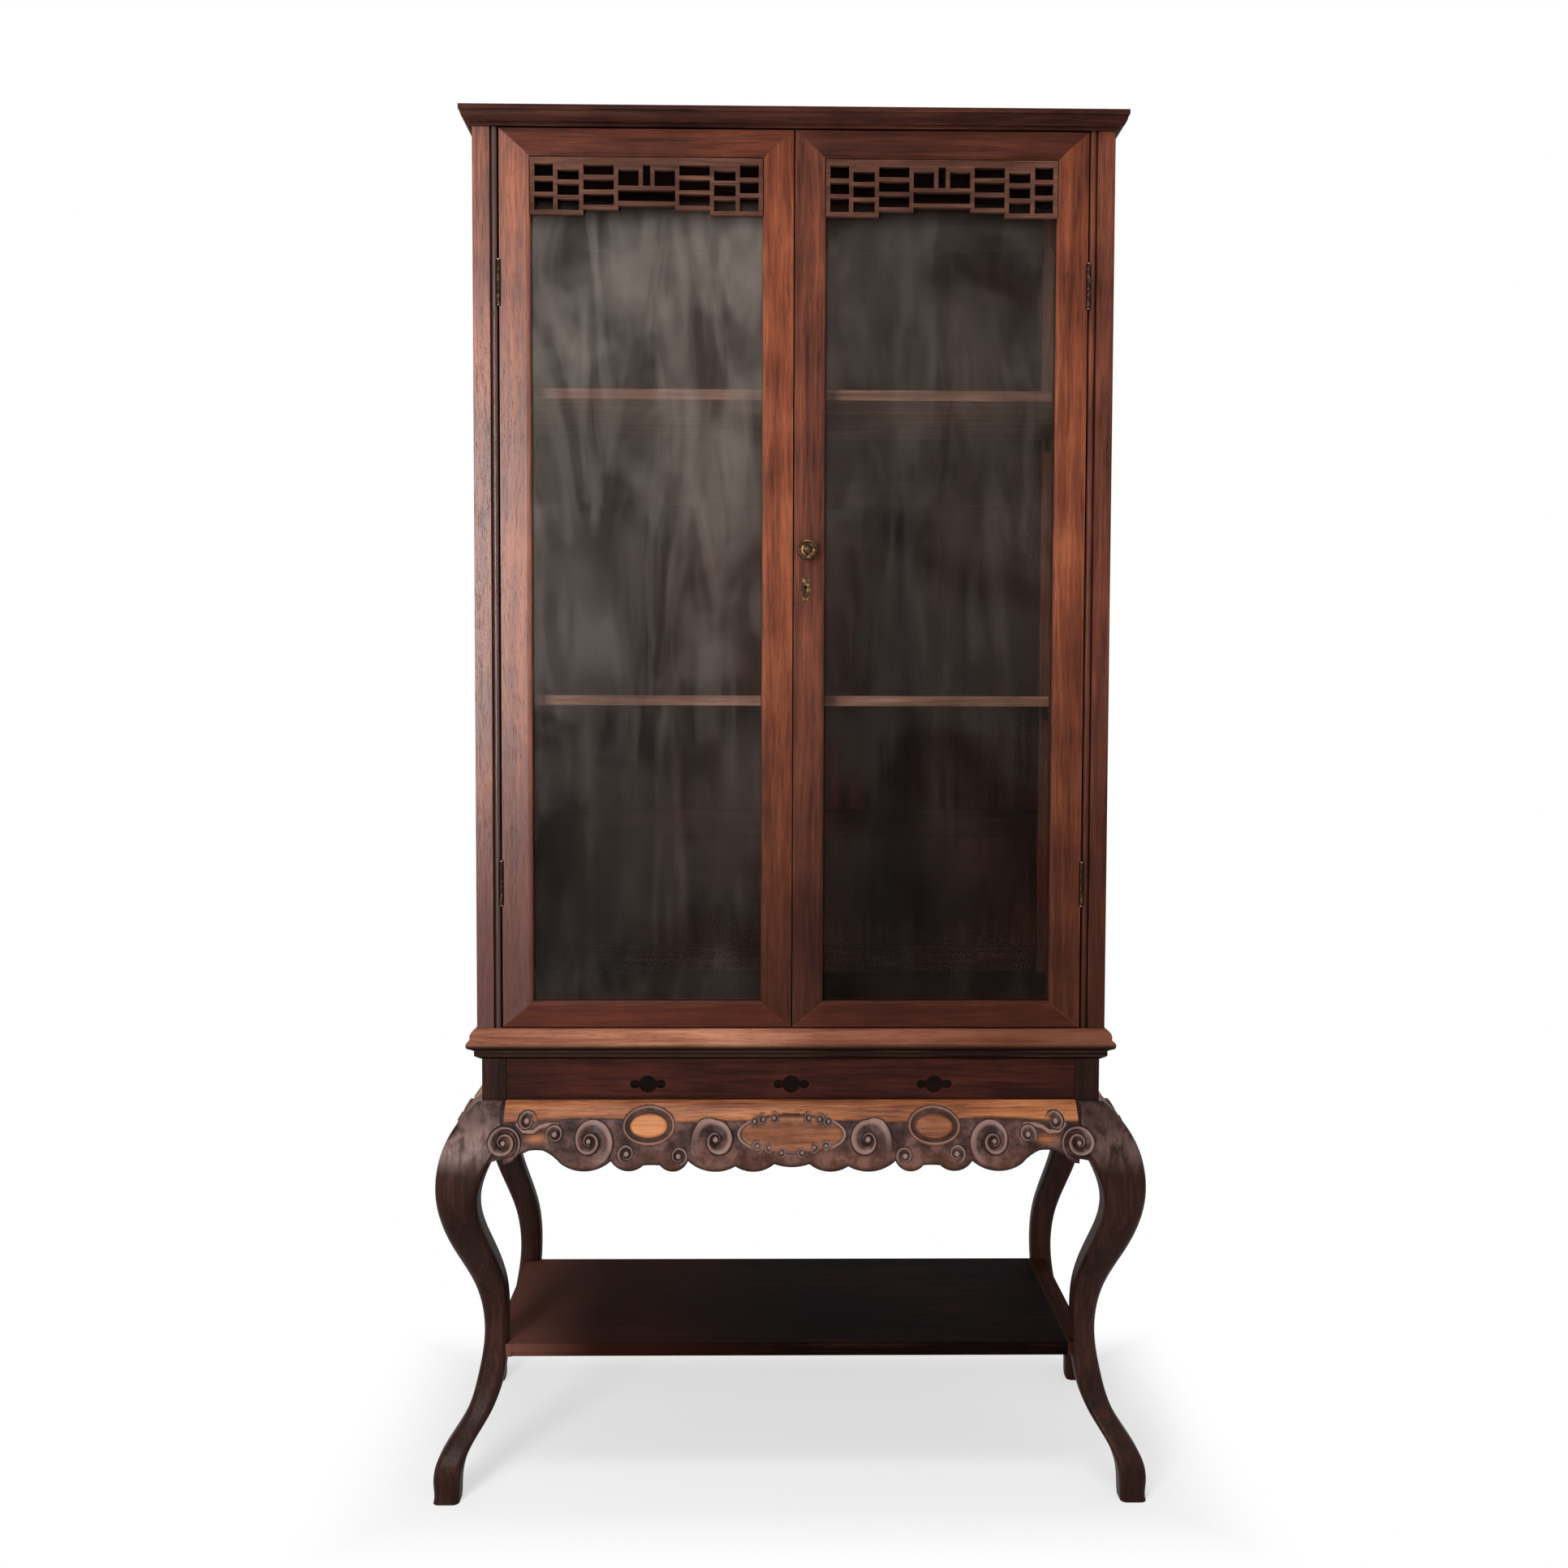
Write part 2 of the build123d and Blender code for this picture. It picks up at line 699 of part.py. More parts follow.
def door_bolt():
    """Round bolt with a small pull."""
    rod = upright(door_bolt_x, door_bolt_y, door_bolt_top - door_bolt_length, door_bolt_top, door_bolt_radius)
    pull_height = door_bolt_top - door_bolt_length / 2 - door_bolt_throw / 2
    pull = Pos(door_bolt_x, door_bolt_y + bolt_knob_reach / 2, pull_height) * Rot(90, 0, 0) * Cylinder(
        bolt_knob_radius, bolt_knob_reach)
    return rod + pull


def door_bolt_plate():
    """Plate on the door's back with two staples that guide the bolt."""
    top = door_bolt_top - slide_gap
    half = bolt_plate_width / 2
    plate = block(door_bolt_x - half, door_bolt_x + half, door_back, door_back + bolt_plate_thickness,
                  top - bolt_plate_height, top)
    staple_half = bolt_staple_width / 2
    staple_back = door_bolt_y + door_bolt_radius + slide_gap + bolt_staple_wall
    for z in (top - bolt_plate_height, top - bolt_staple_height):
        plate += block(door_bolt_x - staple_half, door_bolt_x + staple_half, door_back, staple_back,
                       z, z + bolt_staple_height)
    return plate - upright(door_bolt_x, door_bolt_y, top - bolt_plate_height - chip, top + chip,
                           door_bolt_radius + slide_gap)


# ---------------------------------------------------------------- stand frame and waist
def stand_frame_profile():
    """Two beads, a fillet and a cove over the waist, drawn as (y from the case's face, z)."""
    top = stand_height
    low = stand_frame_bottom
    bead_foot = top - stand_upper_bead
    lower_top = bead_foot - stand_bead_quirk
    lower_foot = lower_top - stand_lower_bead
    fillet_top = lower_foot - stand_undercut
    fillet_foot = fillet_top - stand_fillet
    start = (0, top)
    upper = (-stand_upper_reach, bead_foot)
    lower = (-stand_upper_reach, lower_top)
    lower_end = (-stand_upper_reach, lower_foot)
    fillet_end = (-stand_fillet_reach, fillet_foot)
    waist_face = (waist_inset, low)
    lines = Polyline(waist_face, (stand_frame_width, low), (stand_frame_width, top), start)
    upper_bead = ThreePointArc(start, (-stand_upper_reach * 0.8, top - stand_upper_bead * 0.36), upper)
    quirk = Line(upper, lower)
    lower_bead = ThreePointArc(lower, (-stand_frame_reach, lower_top - stand_lower_bead / 2), lower_end)
    undercut = Polyline(lower_end, (-stand_fillet_reach, fillet_top), fillet_end)
    cove = ThreePointArc(fillet_end, (waist_inset * 0.15, low + (fillet_foot - low) * 0.45), waist_face)
    return make_face(lines + upper_bead + quirk + lower_bead + undercut + cove)


def stand_frame():
    profile = stand_frame_profile()
    span = (stand_frame_width, stand_frame_reach, stand_frame_bottom, stand_height)
    right = mitred_side(profile, *span)
    inner = case_half_width - stand_frame_width
    return {
        "stand_frame_front": mitred_front(profile, *span),
        "stand_frame_right": right,
        "stand_frame_left": mirrored(right),
        "stand_frame_back": block(-inner, inner, rear - stand_frame_width, rear,
                                  stand_frame_bottom, stand_height),
    }


def piercing(x):
    """Four-lobed opening through the waist."""
    end = piercing_half_width - piercing_end_radius
    outline = Rectangle(2 * end, 2 * piercing_end_radius * 0.8)
    outline += Circle(piercing_middle_radius)
    outline += Pos(end, 0) * Circle(piercing_end_radius)
    outline += Pos(-end, 0) * Circle(piercing_end_radius)
    outline = Pos(x, waist_bottom + piercing_rise) * outline
    return front_prism(outline, front - chip, front + stand_frame_width)


def waist():
    outer = waist_inset + waist_board_recess
    inner = outer + waist_board_thickness
    front_board = block(-stub_inner, stub_inner, front + outer, front + inner,
                        waist_bottom, stand_frame_bottom)
    for x in (-piercing_spacing, 0, piercing_spacing):
        front_board -= piercing(x)
    side_board = block(case_half_width - inner, case_half_width - outer, front + waist_inset + leg_stub,
                       rear_leg_front, waist_bottom, stand_frame_bottom)
    back_board = block(-stub_inner, stub_inner, rear_leg_back - waist_board_recess - waist_board_thickness,
                       rear_leg_back - waist_board_recess, waist_bottom, stand_frame_bottom)
    return {
        "waist_front": front_board,
        "waist_right": side_board,
        "waist_left": mirrored(side_board),
        "waist_back": back_board,
    }


# ---------------------------------------------------------------- legs
def leg_stations(shoulder, curve):
    """Levels of a leg from the top down, as (height, reach, width, corner radius)."""
    stations = []
    for (drop, reach), (width, corner) in zip(apron_bulge, shoulder):
        stations.append((waist_bottom - drop, reach, width, corner))
    shoulder_bottom = stations[-1][0]
    for share, reach, width, corner in curve:
        stations.append((share * shoulder_bottom, reach, width, corner))
    return stations


def front_leg():
    """Cabriole leg that curves forwards and sideways alike, with its stub through the waist."""
    sections = []
    for height, reach, width, corner in leg_stations(front_shoulder, front_leg_curve):
        middle = reach - width / 2
        sections.append(Pos(case_half_width + middle, front - middle, height)
                        * RectangleRounded(width, width, corner))
    stub_front = front + waist_inset
    stub = block(stub_inner, stub_outer, stub_front, stub_front + leg_stub, waist_bottom, stand_frame_bottom)
    return loft(sections) + stub


def rear_leg():
    """Cabriole leg that curves sideways only and stays flat at the back."""
    sections = []
    for height, reach, width, corner in leg_stations(rear_shoulder, rear_leg_curve):
        middle = reach - width / 2
        sections.append(Pos(case_half_width + middle, rear_leg_back - rear_leg_depth / 2, height)
                        * RectangleRounded(width, rear_leg_depth, corner))
    stub = block(stub_inner, stub_outer, rear_leg_front, rear_leg_back, waist_bottom, stand_frame_bottom)
    return loft(sections) + stub


# ---------------------------------------------------------------- aprons
def apron_section():
    """Bulging board, drawn as (outwards, z), of even thickness."""
    outer = [(apron_setback - reach, waist_bottom - drop) for drop, reach in apron_bulge]
    inner = [(y + apron_thickness, z) for y, z in outer]
    face_line = Spline(*outer)
    back_line = Spline(*inner)
    return make_face(face_line + Line(outer[-1], inner[-1]) + back_line + Line(inner[0], outer[0]))


def scalloped_outline(end, lobes):
    """Apron seen square on: straight top, lobes along the lower edge, a rise beside each leg."""
    span = end - spandrel_length
    arcs = [(mid * span, mid_drop, stop * span, stop_drop) for mid, mid_drop, stop, stop_drop in lobes]
    for mid, mid_drop, stop, stop_drop in spandrel:
        arcs.append((end - mid, mid_drop, end - stop, stop_drop))
    point = (0, waist_bottom - middle_drop)
    edge = Line((0, waist_bottom), point)
    for mid, mid_drop, stop, stop_drop in arcs:
        finish = (stop, waist_bottom - stop_drop)
        edge += ThreePointArc(point, (mid, waist_bottom - mid_drop), finish)
        point = finish
    edge += Polyline(point, (end, waist_bottom), (0, waist_bottom))
    half = make_face(edge)
    return half + mirror(half, about=Plane.YZ)


def front_apron(legs):
    board = along_x(Pos(front, 0) * apron_section(), -apron_end, apron_end)
    outline = scalloped_outline(apron_end, front_lobes)
    outline = front_prism(outline, front - 2 * foot_reach, front + foot_reach)
    solid = board & outline
    for leg in legs:
        solid -= leg
    return solid


def side_apron(legs):
    """Right-hand apron: the same board turned to face sideways."""
    leg_back = front + leg_inner
    middle = (leg_back + rear_leg_front) / 2
    end = (rear_leg_front - leg_back) / 2 + apron_tuck
    board = along_x(apron_section(), -end, end)
    board &= front_prism(scalloped_outline(end, side_lobes), -2 * foot_reach, foot_reach)
    solid = Pos(case_half_width, middle, 0) * Rot(0, 0, 90) * board
    for leg in legs:
        solid -= leg
    return solid


def rear_apron(legs):
    back = rear_leg_back - apron_setback
    solid = block(-apron_end, apron_end, back - apron_thickness, back,
                  waist_bottom - rear_apron_height, waist_bottom)
    for leg in legs:
        solid -= leg
    return solid


# ---------------------------------------------------------------- low shelf
def low_shelf(legs):
    """Panel between two end rails, with narrow rails along front and back, fitted round the legs."""
    top = low_shelf_top
    bottom = top - low_shelf_thickness
    half = case_half_width - low_shelf_inset
    inner = half - low_shelf_end_rail
    y0 = front + low_shelf_front
    y1 = rear - low_shelf_rear_inset
    y_front = y0 + low_shelf_rail
    y_back = y1 - low_shelf_rail
    end = block(inner, half, y0, y1, bottom, top)
    front_rail = block(-inner, inner, y0, y_front, bottom, top)
    front_rail -= block(-inner, inner, y0 - chip, y0 + low_shelf_step,
                        bottom - chip, bottom + low_shelf_thickness / 3)
    back_rail = block(-inner, inner, y_back, y1, bottom, top)
    for leg in legs:
        end -= leg
    edge = front_rail.edges().filter_by(Axis.X).group_by(Axis.Z)[-1].sort_by(Axis.Y)[0]
    front_rail = fillet(edge, low_shelf_thickness / 4)
    return {
        "low_shelf_panel": block(-inner, inner, y_front, y_back, bottom, top),
        "low_shelf_end_right": end,
        "low_shelf_end_left": mirrored(end),
        "low_shelf_rails": [front_rail, back_rail],
    }


# ---------------------------------------------------------------- assembly
def stand():
    right_front = front_leg()
    right_rear = rear_leg()
    left_front = mirrored(right_front)
    left_rear = mirrored(right_rear)
    nodes = {
        "leg_front_right": right_front,
        "leg_front_left": left_front,
        "leg_rear_right": right_rear,
        "leg_rear_left": left_rear,
        "apron_front": front_apron((right_front, left_front)),
        "apron_back": rear_apron((right_rear, left_rear)),
    }
    side = side_apron((right_front, right_rear))
    nodes["apron_right"] = side
    nodes["apron_left"] = mirrored(side)
    nodes.update(stand_frame())
    nodes.update(waist())
    nodes.update(low_shelf((right_front, right_rear)))
    return nodes


def case():
    right_front = front_post()
    right_rear = rear_post()
    groove = side_panel()
    for panel in back_panels():
        right_rear -= panel
    right_front -= groove
    right_rear -= groove
    rails = side_rails()
    nodes = {
        "post_front_right": right_front,
        "post_front_left": mirrored(right_front),
        "post_rear_right": right_rear,
        "post_rear_left": mirrored(right_rear),
        "side_panels": both_sides(groove),
        "side_rails": rails + [mirrored(rail) for rail in rails],
        "back_rails": back_rails(),
        "back_panels": back_panels(),
        "head_rail": head_rail(),
        "floor_board": floor_board(),
        "book_shelf_lower": book_shelf(shelf_tops[0]),
        "book_shelf_upper": book_shelf(shelf_tops[1]),
        "shelf_cleats": cleats(),
        "hinge_frame_leaves": [],
        "hinge_pins": [],
    }
    for level in hinge_heights:
        nodes["hinge_frame_leaves"] += both_sides(frame_leaf(level))
        nodes["hinge_pins"] += both_sides(hinge_pin(level))
    nodes.update(cornice())
    return nodes


def doors():
    nodes = {}
    for side in ("right", "left"):
        place = mirrored if side == "left" else (lambda solid: solid)
        outer_stile, inner_stile, rails = door_pieces(side == "right")
        pieces = {
            "outer_stile": [outer_stile],
            "inner_stile": [inner_stile],
            "rails": rails,
            "glass": [door_glass()],
            "glazing_beads": glazing_beads(),
            "fretwork": [fretwork()],
            "hinge_leaves": [door_leaf(level) for level in hinge_heights],
        }
        for piece, solids in pieces.items():
            nodes[f"door_{side}_{piece}"] = [place(solid) for solid in solids]
    return nodes


def hardware():
    return {
        "knob": knob(),
        "escutcheon": escutcheon(),
        "lock_case": lock_case(),
        "lock_bolt": lock_bolt(),
        "door_bolt": door_bolt(),
        "door_bolt_plate": door_bolt_plate(),
    }


def write(nodes):
    """One STEP file per named piece."""
    os.makedirs("parts", exist_ok=True)
    for name, shape in nodes.items():
        pieces = shape if isinstance(shape, list) else [shape]
        solids = [solid for piece in pieces for solid in piece.solids()]
        export_step(Compound(label=name, children=solids), f"parts/{name}.step")


write(stand())
write(case())
write(doors())
write(hardware())
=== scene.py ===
import math
import bpy
import numpy as np
from mathutils import Matrix, Vector
from mathutils.bvhtree import BVHTree


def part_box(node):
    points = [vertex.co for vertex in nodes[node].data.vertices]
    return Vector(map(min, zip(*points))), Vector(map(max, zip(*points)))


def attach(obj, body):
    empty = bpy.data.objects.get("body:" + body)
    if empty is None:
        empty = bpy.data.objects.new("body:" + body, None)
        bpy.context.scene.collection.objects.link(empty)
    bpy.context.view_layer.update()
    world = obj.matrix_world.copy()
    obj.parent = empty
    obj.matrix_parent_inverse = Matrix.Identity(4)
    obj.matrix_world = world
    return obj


# Looks of the Chinese book cabinet: woods, glass, brass, and the carving on the stand's aprons.
# The carving's patterns and heights are in millimetres, and all other lengths are in metres.

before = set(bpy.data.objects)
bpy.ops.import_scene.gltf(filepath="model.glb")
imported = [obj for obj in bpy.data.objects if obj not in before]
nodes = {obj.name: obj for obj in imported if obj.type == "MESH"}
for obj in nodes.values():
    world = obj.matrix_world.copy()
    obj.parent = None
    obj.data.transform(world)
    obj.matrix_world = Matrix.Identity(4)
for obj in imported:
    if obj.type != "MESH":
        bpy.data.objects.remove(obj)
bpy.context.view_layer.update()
MM = 0.001
CAMERA_PLACE = (-0.0444, -2.35655, 1.0918)

# ---------------------------------------------------------------- camera

camera_data = bpy.data.cameras.new("camera")
camera_data.sensor_width = 36.0
camera_data.lens = 36.53
camera_data.clip_end = 60.0
camera = bpy.data.objects.new("camera", camera_data)
bpy.context.scene.collection.objects.link(camera)
camera_turn = (
    Matrix.Rotation(-0.0149, 4, "Z")
    @ Matrix.Rotation(math.pi / 2 - 0.0473, 4, "X")
    @ Matrix.Rotation(0.0032, 4, "Z")
)
camera.matrix_world = Matrix.Translation(CAMERA_PLACE) @ camera_turn
bpy.context.scene.camera = camera
bpy.context.scene.view_settings.view_transform = "Standard"


# ---------------------------------------------------------------- node helpers

def tone(red, green, blue):
    """A colour written as it looks on screen, 0 to 255, as the linear colour that Blender takes."""
    def linear(value):
        share = value / 255
        return share / 12.92 if share <= 0.04045 else ((share + 0.055) / 1.055) ** 2.4
    return (linear(red), linear(green), linear(blue), 1.0)


def blank_material(name):
    material = bpy.data.materials.new(name)
    material.use_nodes = True
    material.node_tree.nodes.clear()
    return material, material.node_tree


def add(tree, kind, sockets=None, **properties):
    """Adds a node. sockets sets or links its inputs by name or number."""
    made = tree.nodes.new(kind)
    for key, value in properties.items():
        setattr(made, key, value)
    for key, value in (sockets or {}).items():
        if isinstance(value, bpy.types.NodeSocket):
            tree.links.new(value, made.inputs[key])
        else:
            made.inputs[key].default_value = value
    return made


def calc(tree, operation, first, second=0.0, clamp=False):
    made = add(tree, "ShaderNodeMath", {0: first, 1: second}, operation=operation)
    made.use_clamp = clamp
    return made.outputs[0]


def noise(tree, vector, scale, detail=3.0, roughness=0.55, distortion=0.0):
    sockets = {"Vector": vector, "Scale": scale, "Detail": detail, "Roughness": roughness}
    made = add(tree, "ShaderNodeTexNoise", {**sockets, "Distortion": distortion})
    return made.outputs["Fac"]


def span(tree, value, low, high):
    """value mapped smoothly from low..high to 0..1."""
    made = add(
        tree,
        "ShaderNodeMapRange",
        {"Value": value, "From Min": low, "From Max": high, "To Min": 0.0, "To Max": 1.0},
        interpolation_type="SMOOTHSTEP",
    )
    return made.outputs["Result"]


def ramp(tree, value, stops):
    made = add(tree, "ShaderNodeValToRGB", {"Fac": value})
    elements = made.color_ramp.elements
    while len(elements) < len(stops):
        elements.new(0.5)
    for element, (place, colour) in zip(elements, stops):
        element.position = place
        element.color = colour
    return made.outputs["Color"]


def blended(tree, share, first, second):
    """first where share is 0, second where it is 1."""
    return add(tree, "ShaderNodeMix", {0: share, 6: first, 7: second}, data_type="RGBA").outputs[2]


def vector_math(tree, first, second, operation="ADD"):
    made = add(tree, "ShaderNodeVectorMath", {0: first, 1: second}, operation=operation)
    return made.outputs["Value" if operation == "DOT_PRODUCT" else "Vector"]


# ---------------------------------------------------------------- materials

DUST_AND_GLINT_TONE = tone(150, 122, 116)
DRIFT = 0.012  # how far the grain wanders
GRAIN = {"x": (0.05, 1.0, 1.0), "y": (1.0, 0.05, 1.0), "z": (1.0, 1.0, 0.05)}


def wood(name, grain, tones, seed, rough=0.36, shine=0.14, wear_and_glint=0.5, corner_shade=0.7, dust_and_painted_light=0.0, tints=(),
         carving=False):
    """A varnished wood with its grain along one axis.

    tones are dark, middle, light and the tone of the edges, partly rubbing and partly a painted highlight.
    soot is how dark the painted shade in the corners gets, and dust how much dusty coating and painted
    glint
    lies on what faces up. Each of tints is (axis, start, end, tone, most): a painted shade or light whose
    tone takes over from start to end, in metres, up to the share most.
    """
    dark, middle, light, worn_and_glint_tone = tones
    material, tree = blank_material(name)
    place = add(tree, "ShaderNodeTexCoord").outputs["Object"]
    moved = vector_math(tree, place, (seed * 1.37, seed * 0.71, seed * 2.13))
    drift = add(
        tree, "ShaderNodeTexNoise", {"Vector": moved, "Scale": 3.2, "Detail": 2.0}
    ).outputs["Color"]
    drift = vector_math(tree, drift, (DRIFT, DRIFT, DRIFT), "MULTIPLY")
    wavy = vector_math(tree, moved, drift)
    along = vector_math(tree, wavy, GRAIN[grain], "MULTIPLY")
    figure = noise(tree, along, 62.0, 5.0, 0.62, 0.5)
    streaks = noise(tree, along, 260.0, 3.0, 0.6)
    pores = noise(tree, along, 900.0, 2.0, 0.6)
    patches = noise(tree, moved, 5.5, 3.0, 0.6)
    value = calc(tree, "MULTIPLY", figure, 0.36)
    value = calc(tree, "ADD", value, calc(tree, "MULTIPLY", streaks, 0.28))
    value = calc(tree, "ADD", value, calc(tree, "MULTIPLY", patches, 0.36))
    colour = ramp(tree, value, ((0.38, tone(*dark)), (0.50, tone(*middle)), (0.62, tone(*light))))
    pore_mask = span(tree, pores, 0.56, 0.68)
    colour = blended(tree, calc(tree, "MULTIPLY", pore_mask, 0.45), colour, tone(*[0.35 * c for c in dark]))
    where = add(tree, "ShaderNodeSeparateXYZ", {"Vector": place}).outputs
    # each tint paints shade or light along one axis
    for axis, start, end, tint, most in tints:
        grown = calc(tree, "MULTIPLY", span(tree, where[axis], start, end), most)
        colour = blended(tree, grown, colour, tone(*tint))
    rounded = add(tree, "ShaderNodeBevel", {"Radius": 0.0011}, samples=4).outputs["Normal"]
    flat = add(tree, "ShaderNodeNewGeometry").outputs["Normal"]
    if dust_and_painted_light:
        up = add(tree, "ShaderNodeSeparateXYZ", {"Vector": flat}).outputs["Z"]
        # a dusty coating and a painted glint on what faces up: thickest on the shoulder beside the scrolls,
        # and none below the knee
        level = calc(tree, "MULTIPLY", span(tree, where["Z"], 0.530, 0.495), 0.6)
        level = calc(tree, "ADD", level, 0.4)
        level = calc(tree, "MULTIPLY", level, span(tree, where["Z"], 0.450, 0.486))
        dust_and_glint_share = calc(tree, "MULTIPLY", span(tree, up, 0.0, 0.36), level)
        dust_and_glint_share = calc(tree, "MULTIPLY", dust_and_glint_share, span(tree, figure, 0.30, 0.62))
        colour = blended(tree, calc(tree, "MULTIPLY", dust_and_glint_share, dust_and_painted_light), colour, DUST_AND_GLINT_TONE)
    # the edges get lighter in patches: partly rubbing, partly a painted highlight
    facing = vector_math(tree, rounded, flat, "DOT_PRODUCT")
    edge = span(tree, facing, 0.995, 0.90)
    lighter_share = calc(tree, "MULTIPLY", edge, span(tree, patches, 0.40, 0.60))
    colour = blended(tree, calc(tree, "MULTIPLY", lighter_share, wear_and_glint), colour, tone(*worn_and_glint_tone))
    # painted shade: the wood gets darker where ambient occlusion finds corners, creases and gaps between
    # parts
    open_share = add(tree, "ShaderNodeAmbientOcclusion", {"Distance": 0.007}, samples=6).outputs["AO"]
    corner_shade_share = calc(tree, "MULTIPLY", span(tree, open_share, 0.80, 0.30), corner_shade)
    colour = blended(tree, corner_shade_share, colour, tone(*[0.3 * c for c in dark]))
    roughness = calc(tree, "ADD", calc(tree, "MULTIPLY", streaks, 0.16), rough - 0.08)
    height = calc(tree, "SUBTRACT", calc(tree, "MULTIPLY", figure, 0.6), pore_mask)
    if carving:
        marks = add(tree, "ShaderNodeAttribute", attribute_name="carving").outputs
        parts = add(tree, "ShaderNodeSeparateColor", {"Color": marks["Color"]}).outputs
        polish, crease_shade, crest_wear_and_glint = parts[0], parts[1], parts[2]
        mottle = noise(tree, moved, 46.0, 4.0, 0.6)
        dusty = ramp(
            tree, mottle, ((0.36, tone(34, 19, 17)), (0.50, tone(64, 41, 37)), (0.64, tone(96, 68, 62)))
        )
        colour = blended(tree, polish, dusty, colour)
        bright_tone = ramp(tree, value, ((0.40, tone(160, 96, 58)), (0.60, tone(200, 138, 92))))
        colour = blended(tree, marks["Alpha"], colour, bright_tone)
        # lighter ridges: partly rubbing, partly a painted highlight
        colour = blended(tree, crest_wear_and_glint, colour, tone(164, 134, 124))
        # painted shade in the carving's grooves and along its edges
        colour = blended(tree, crease_shade, colour, tone(14, 7, 6))
        roughness = calc(tree, "ADD", roughness, calc(tree, "MULTIPLY", crease_shade, 0.3))
    bumped = add(
        tree,
        "ShaderNodeBump",
        {"Strength": 0.35, "Distance": 0.0004, "Height": height, "Normal": rounded},
    ).outputs["Normal"]
    shader = add(
        tree,
        "ShaderNodeBsdfPrincipled",
        {
            "Base Color": colour,
            "Roughness": roughness,
            "Normal": bumped,
            "Specular IOR Level": shine,
        },
    )
    add(tree, "ShaderNodeOutputMaterial", {"Surface": shader.outputs[0]})
    return material


def metal(name, bright, dull, roughness, seed):
    """An old metal, tarnished in patches."""
    material, tree = blank_material(name)
    place = add(tree, "ShaderNodeTexCoord").outputs["Object"]
    moved = vector_math(tree, place, (seed, seed, seed))
    tarnish = noise(tree, moved, 180.0, 4.0, 0.65)
    fine = noise(tree, moved, 1200.0, 3.0, 0.6)
    rounded = add(tree, "ShaderNodeBevel", {"Radius": 0.0006}, samples=4).outputs["Normal"]
    flat = add(tree, "ShaderNodeNewGeometry").outputs["Normal"]
    facing = vector_math(tree, rounded, flat, "DOT_PRODUCT")
    edge = span(tree, facing, 0.995, 0.92)
    lighter_share = calc(tree, "ADD", span(tree, tarnish, 0.48, 0.66), edge, clamp=True)
    colour = blended(tree, lighter_share, tone(*dull), tone(*bright))
    rough = calc(tree, "ADD", calc(tree, "MULTIPLY", fine, 0.2), roughness - 0.1)
    bumped = add(
        tree, "ShaderNodeBump", {"Strength": 0.2, "Distance": 0.0002, "Height": fine, "Normal": rounded}
    ).outputs["Normal"]
    shader = add(
        tree,
        "ShaderNodeBsdfPrincipled",
        {"Base Color": colour, "Roughness": rough, "Metallic": 1.0, "Normal": bumped},
    )
    add(tree, "ShaderNodeOutputMaterial", {"Surface": shader.outputs[0]})
    return material


def pane(name, seed, haze_and_reflection):
    """Old drawn window glass: clear, with a dusty coating in streaks that is partly a painted reflection
    and grows towards the top, and a mirror at a slant.
    """
    material, tree = blank_material(name)
    place = add(tree, "ShaderNodeTexCoord").outputs["Object"]
    moved = vector_math(tree, place, (seed, seed, seed))
    drawn = vector_math(tree, moved, (1.0, 1.0, 0.22), "MULTIPLY")
    streaks = span(tree, noise(tree, drawn, 17.0, 4.0, 0.6, 1.4), 0.42, 0.68)
    clouds = span(tree, noise(tree, moved, 5.0, 3.0, 0.55, 0.8), 0.36, 0.62)
    height = add(tree, "ShaderNodeSeparateXYZ", {"Vector": place}).outputs["Z"]
    # painted reflection: the coating grows higher up the pane and stops just under its top
    upper_reflection = calc(tree, "ADD", calc(tree, "MULTIPLY", span(tree, height, 0.8, 1.6), 0.82), 0.18)
    upper_reflection = calc(tree, "MULTIPLY", upper_reflection, span(tree, height, 1.785, 1.735))
    film_and_reflection = calc(tree, "ADD", calc(tree, "MULTIPLY", streaks, 0.5), calc(tree, "MULTIPLY", clouds, 0.5))
    film_and_reflection = calc(tree, "MULTIPLY", calc(tree, "ADD", film_and_reflection, 0.25), calc(tree, "MULTIPLY", upper_reflection, haze_and_reflection))
    dust_and_painted_light = add(tree, "ShaderNodeBsdfDiffuse", {"Color": tone(176, 164, 156)}).outputs[0]
    clear = add(tree, "ShaderNodeBsdfTransparent", {"Color": tone(249, 250, 249)}).outputs[0]
    body = add(tree, "ShaderNodeMixShader", {0: film_and_reflection, 1: clear, 2: dust_and_painted_light}).outputs[0]
    mirror = add(tree, "ShaderNodeBsdfGlossy", {"Color": tone(250, 250, 250), "Roughness": 0.03}).outputs[0]
    slant = add(tree, "ShaderNodeFresnel", {"IOR": 1.45}).outputs[0]
    share = calc(tree, "SUBTRACT", slant, 0.0335, clamp=True)
    shown = add(tree, "ShaderNodeMixShader", {0: share, 1: body, 2: mirror}).outputs[0]
    add(tree, "ShaderNodeOutputMaterial", {"Surface": shown})
    return material


# tones: dark, middle, light, edge tone (partly rubbing, partly a painted highlight)
FRAME_TONES = ((62, 26, 15), (106, 53, 34), (144, 80, 50), (176, 118, 86))
# a darker copy of the frame's tones for the right front pieces and the rear posts: partly darker wood,
# partly painted shade
DARKER_AND_SHADED_TONES = ((54, 24, 15), (92, 48, 35), (126, 69, 48), (156, 104, 80))
RAIL_TONES = ((44, 19, 11), (74, 34, 22), (102, 51, 34), (150, 92, 64))
CORNICE_TONES = ((26, 10, 7), (50, 24, 18), (74, 39, 30), (138, 92, 72))
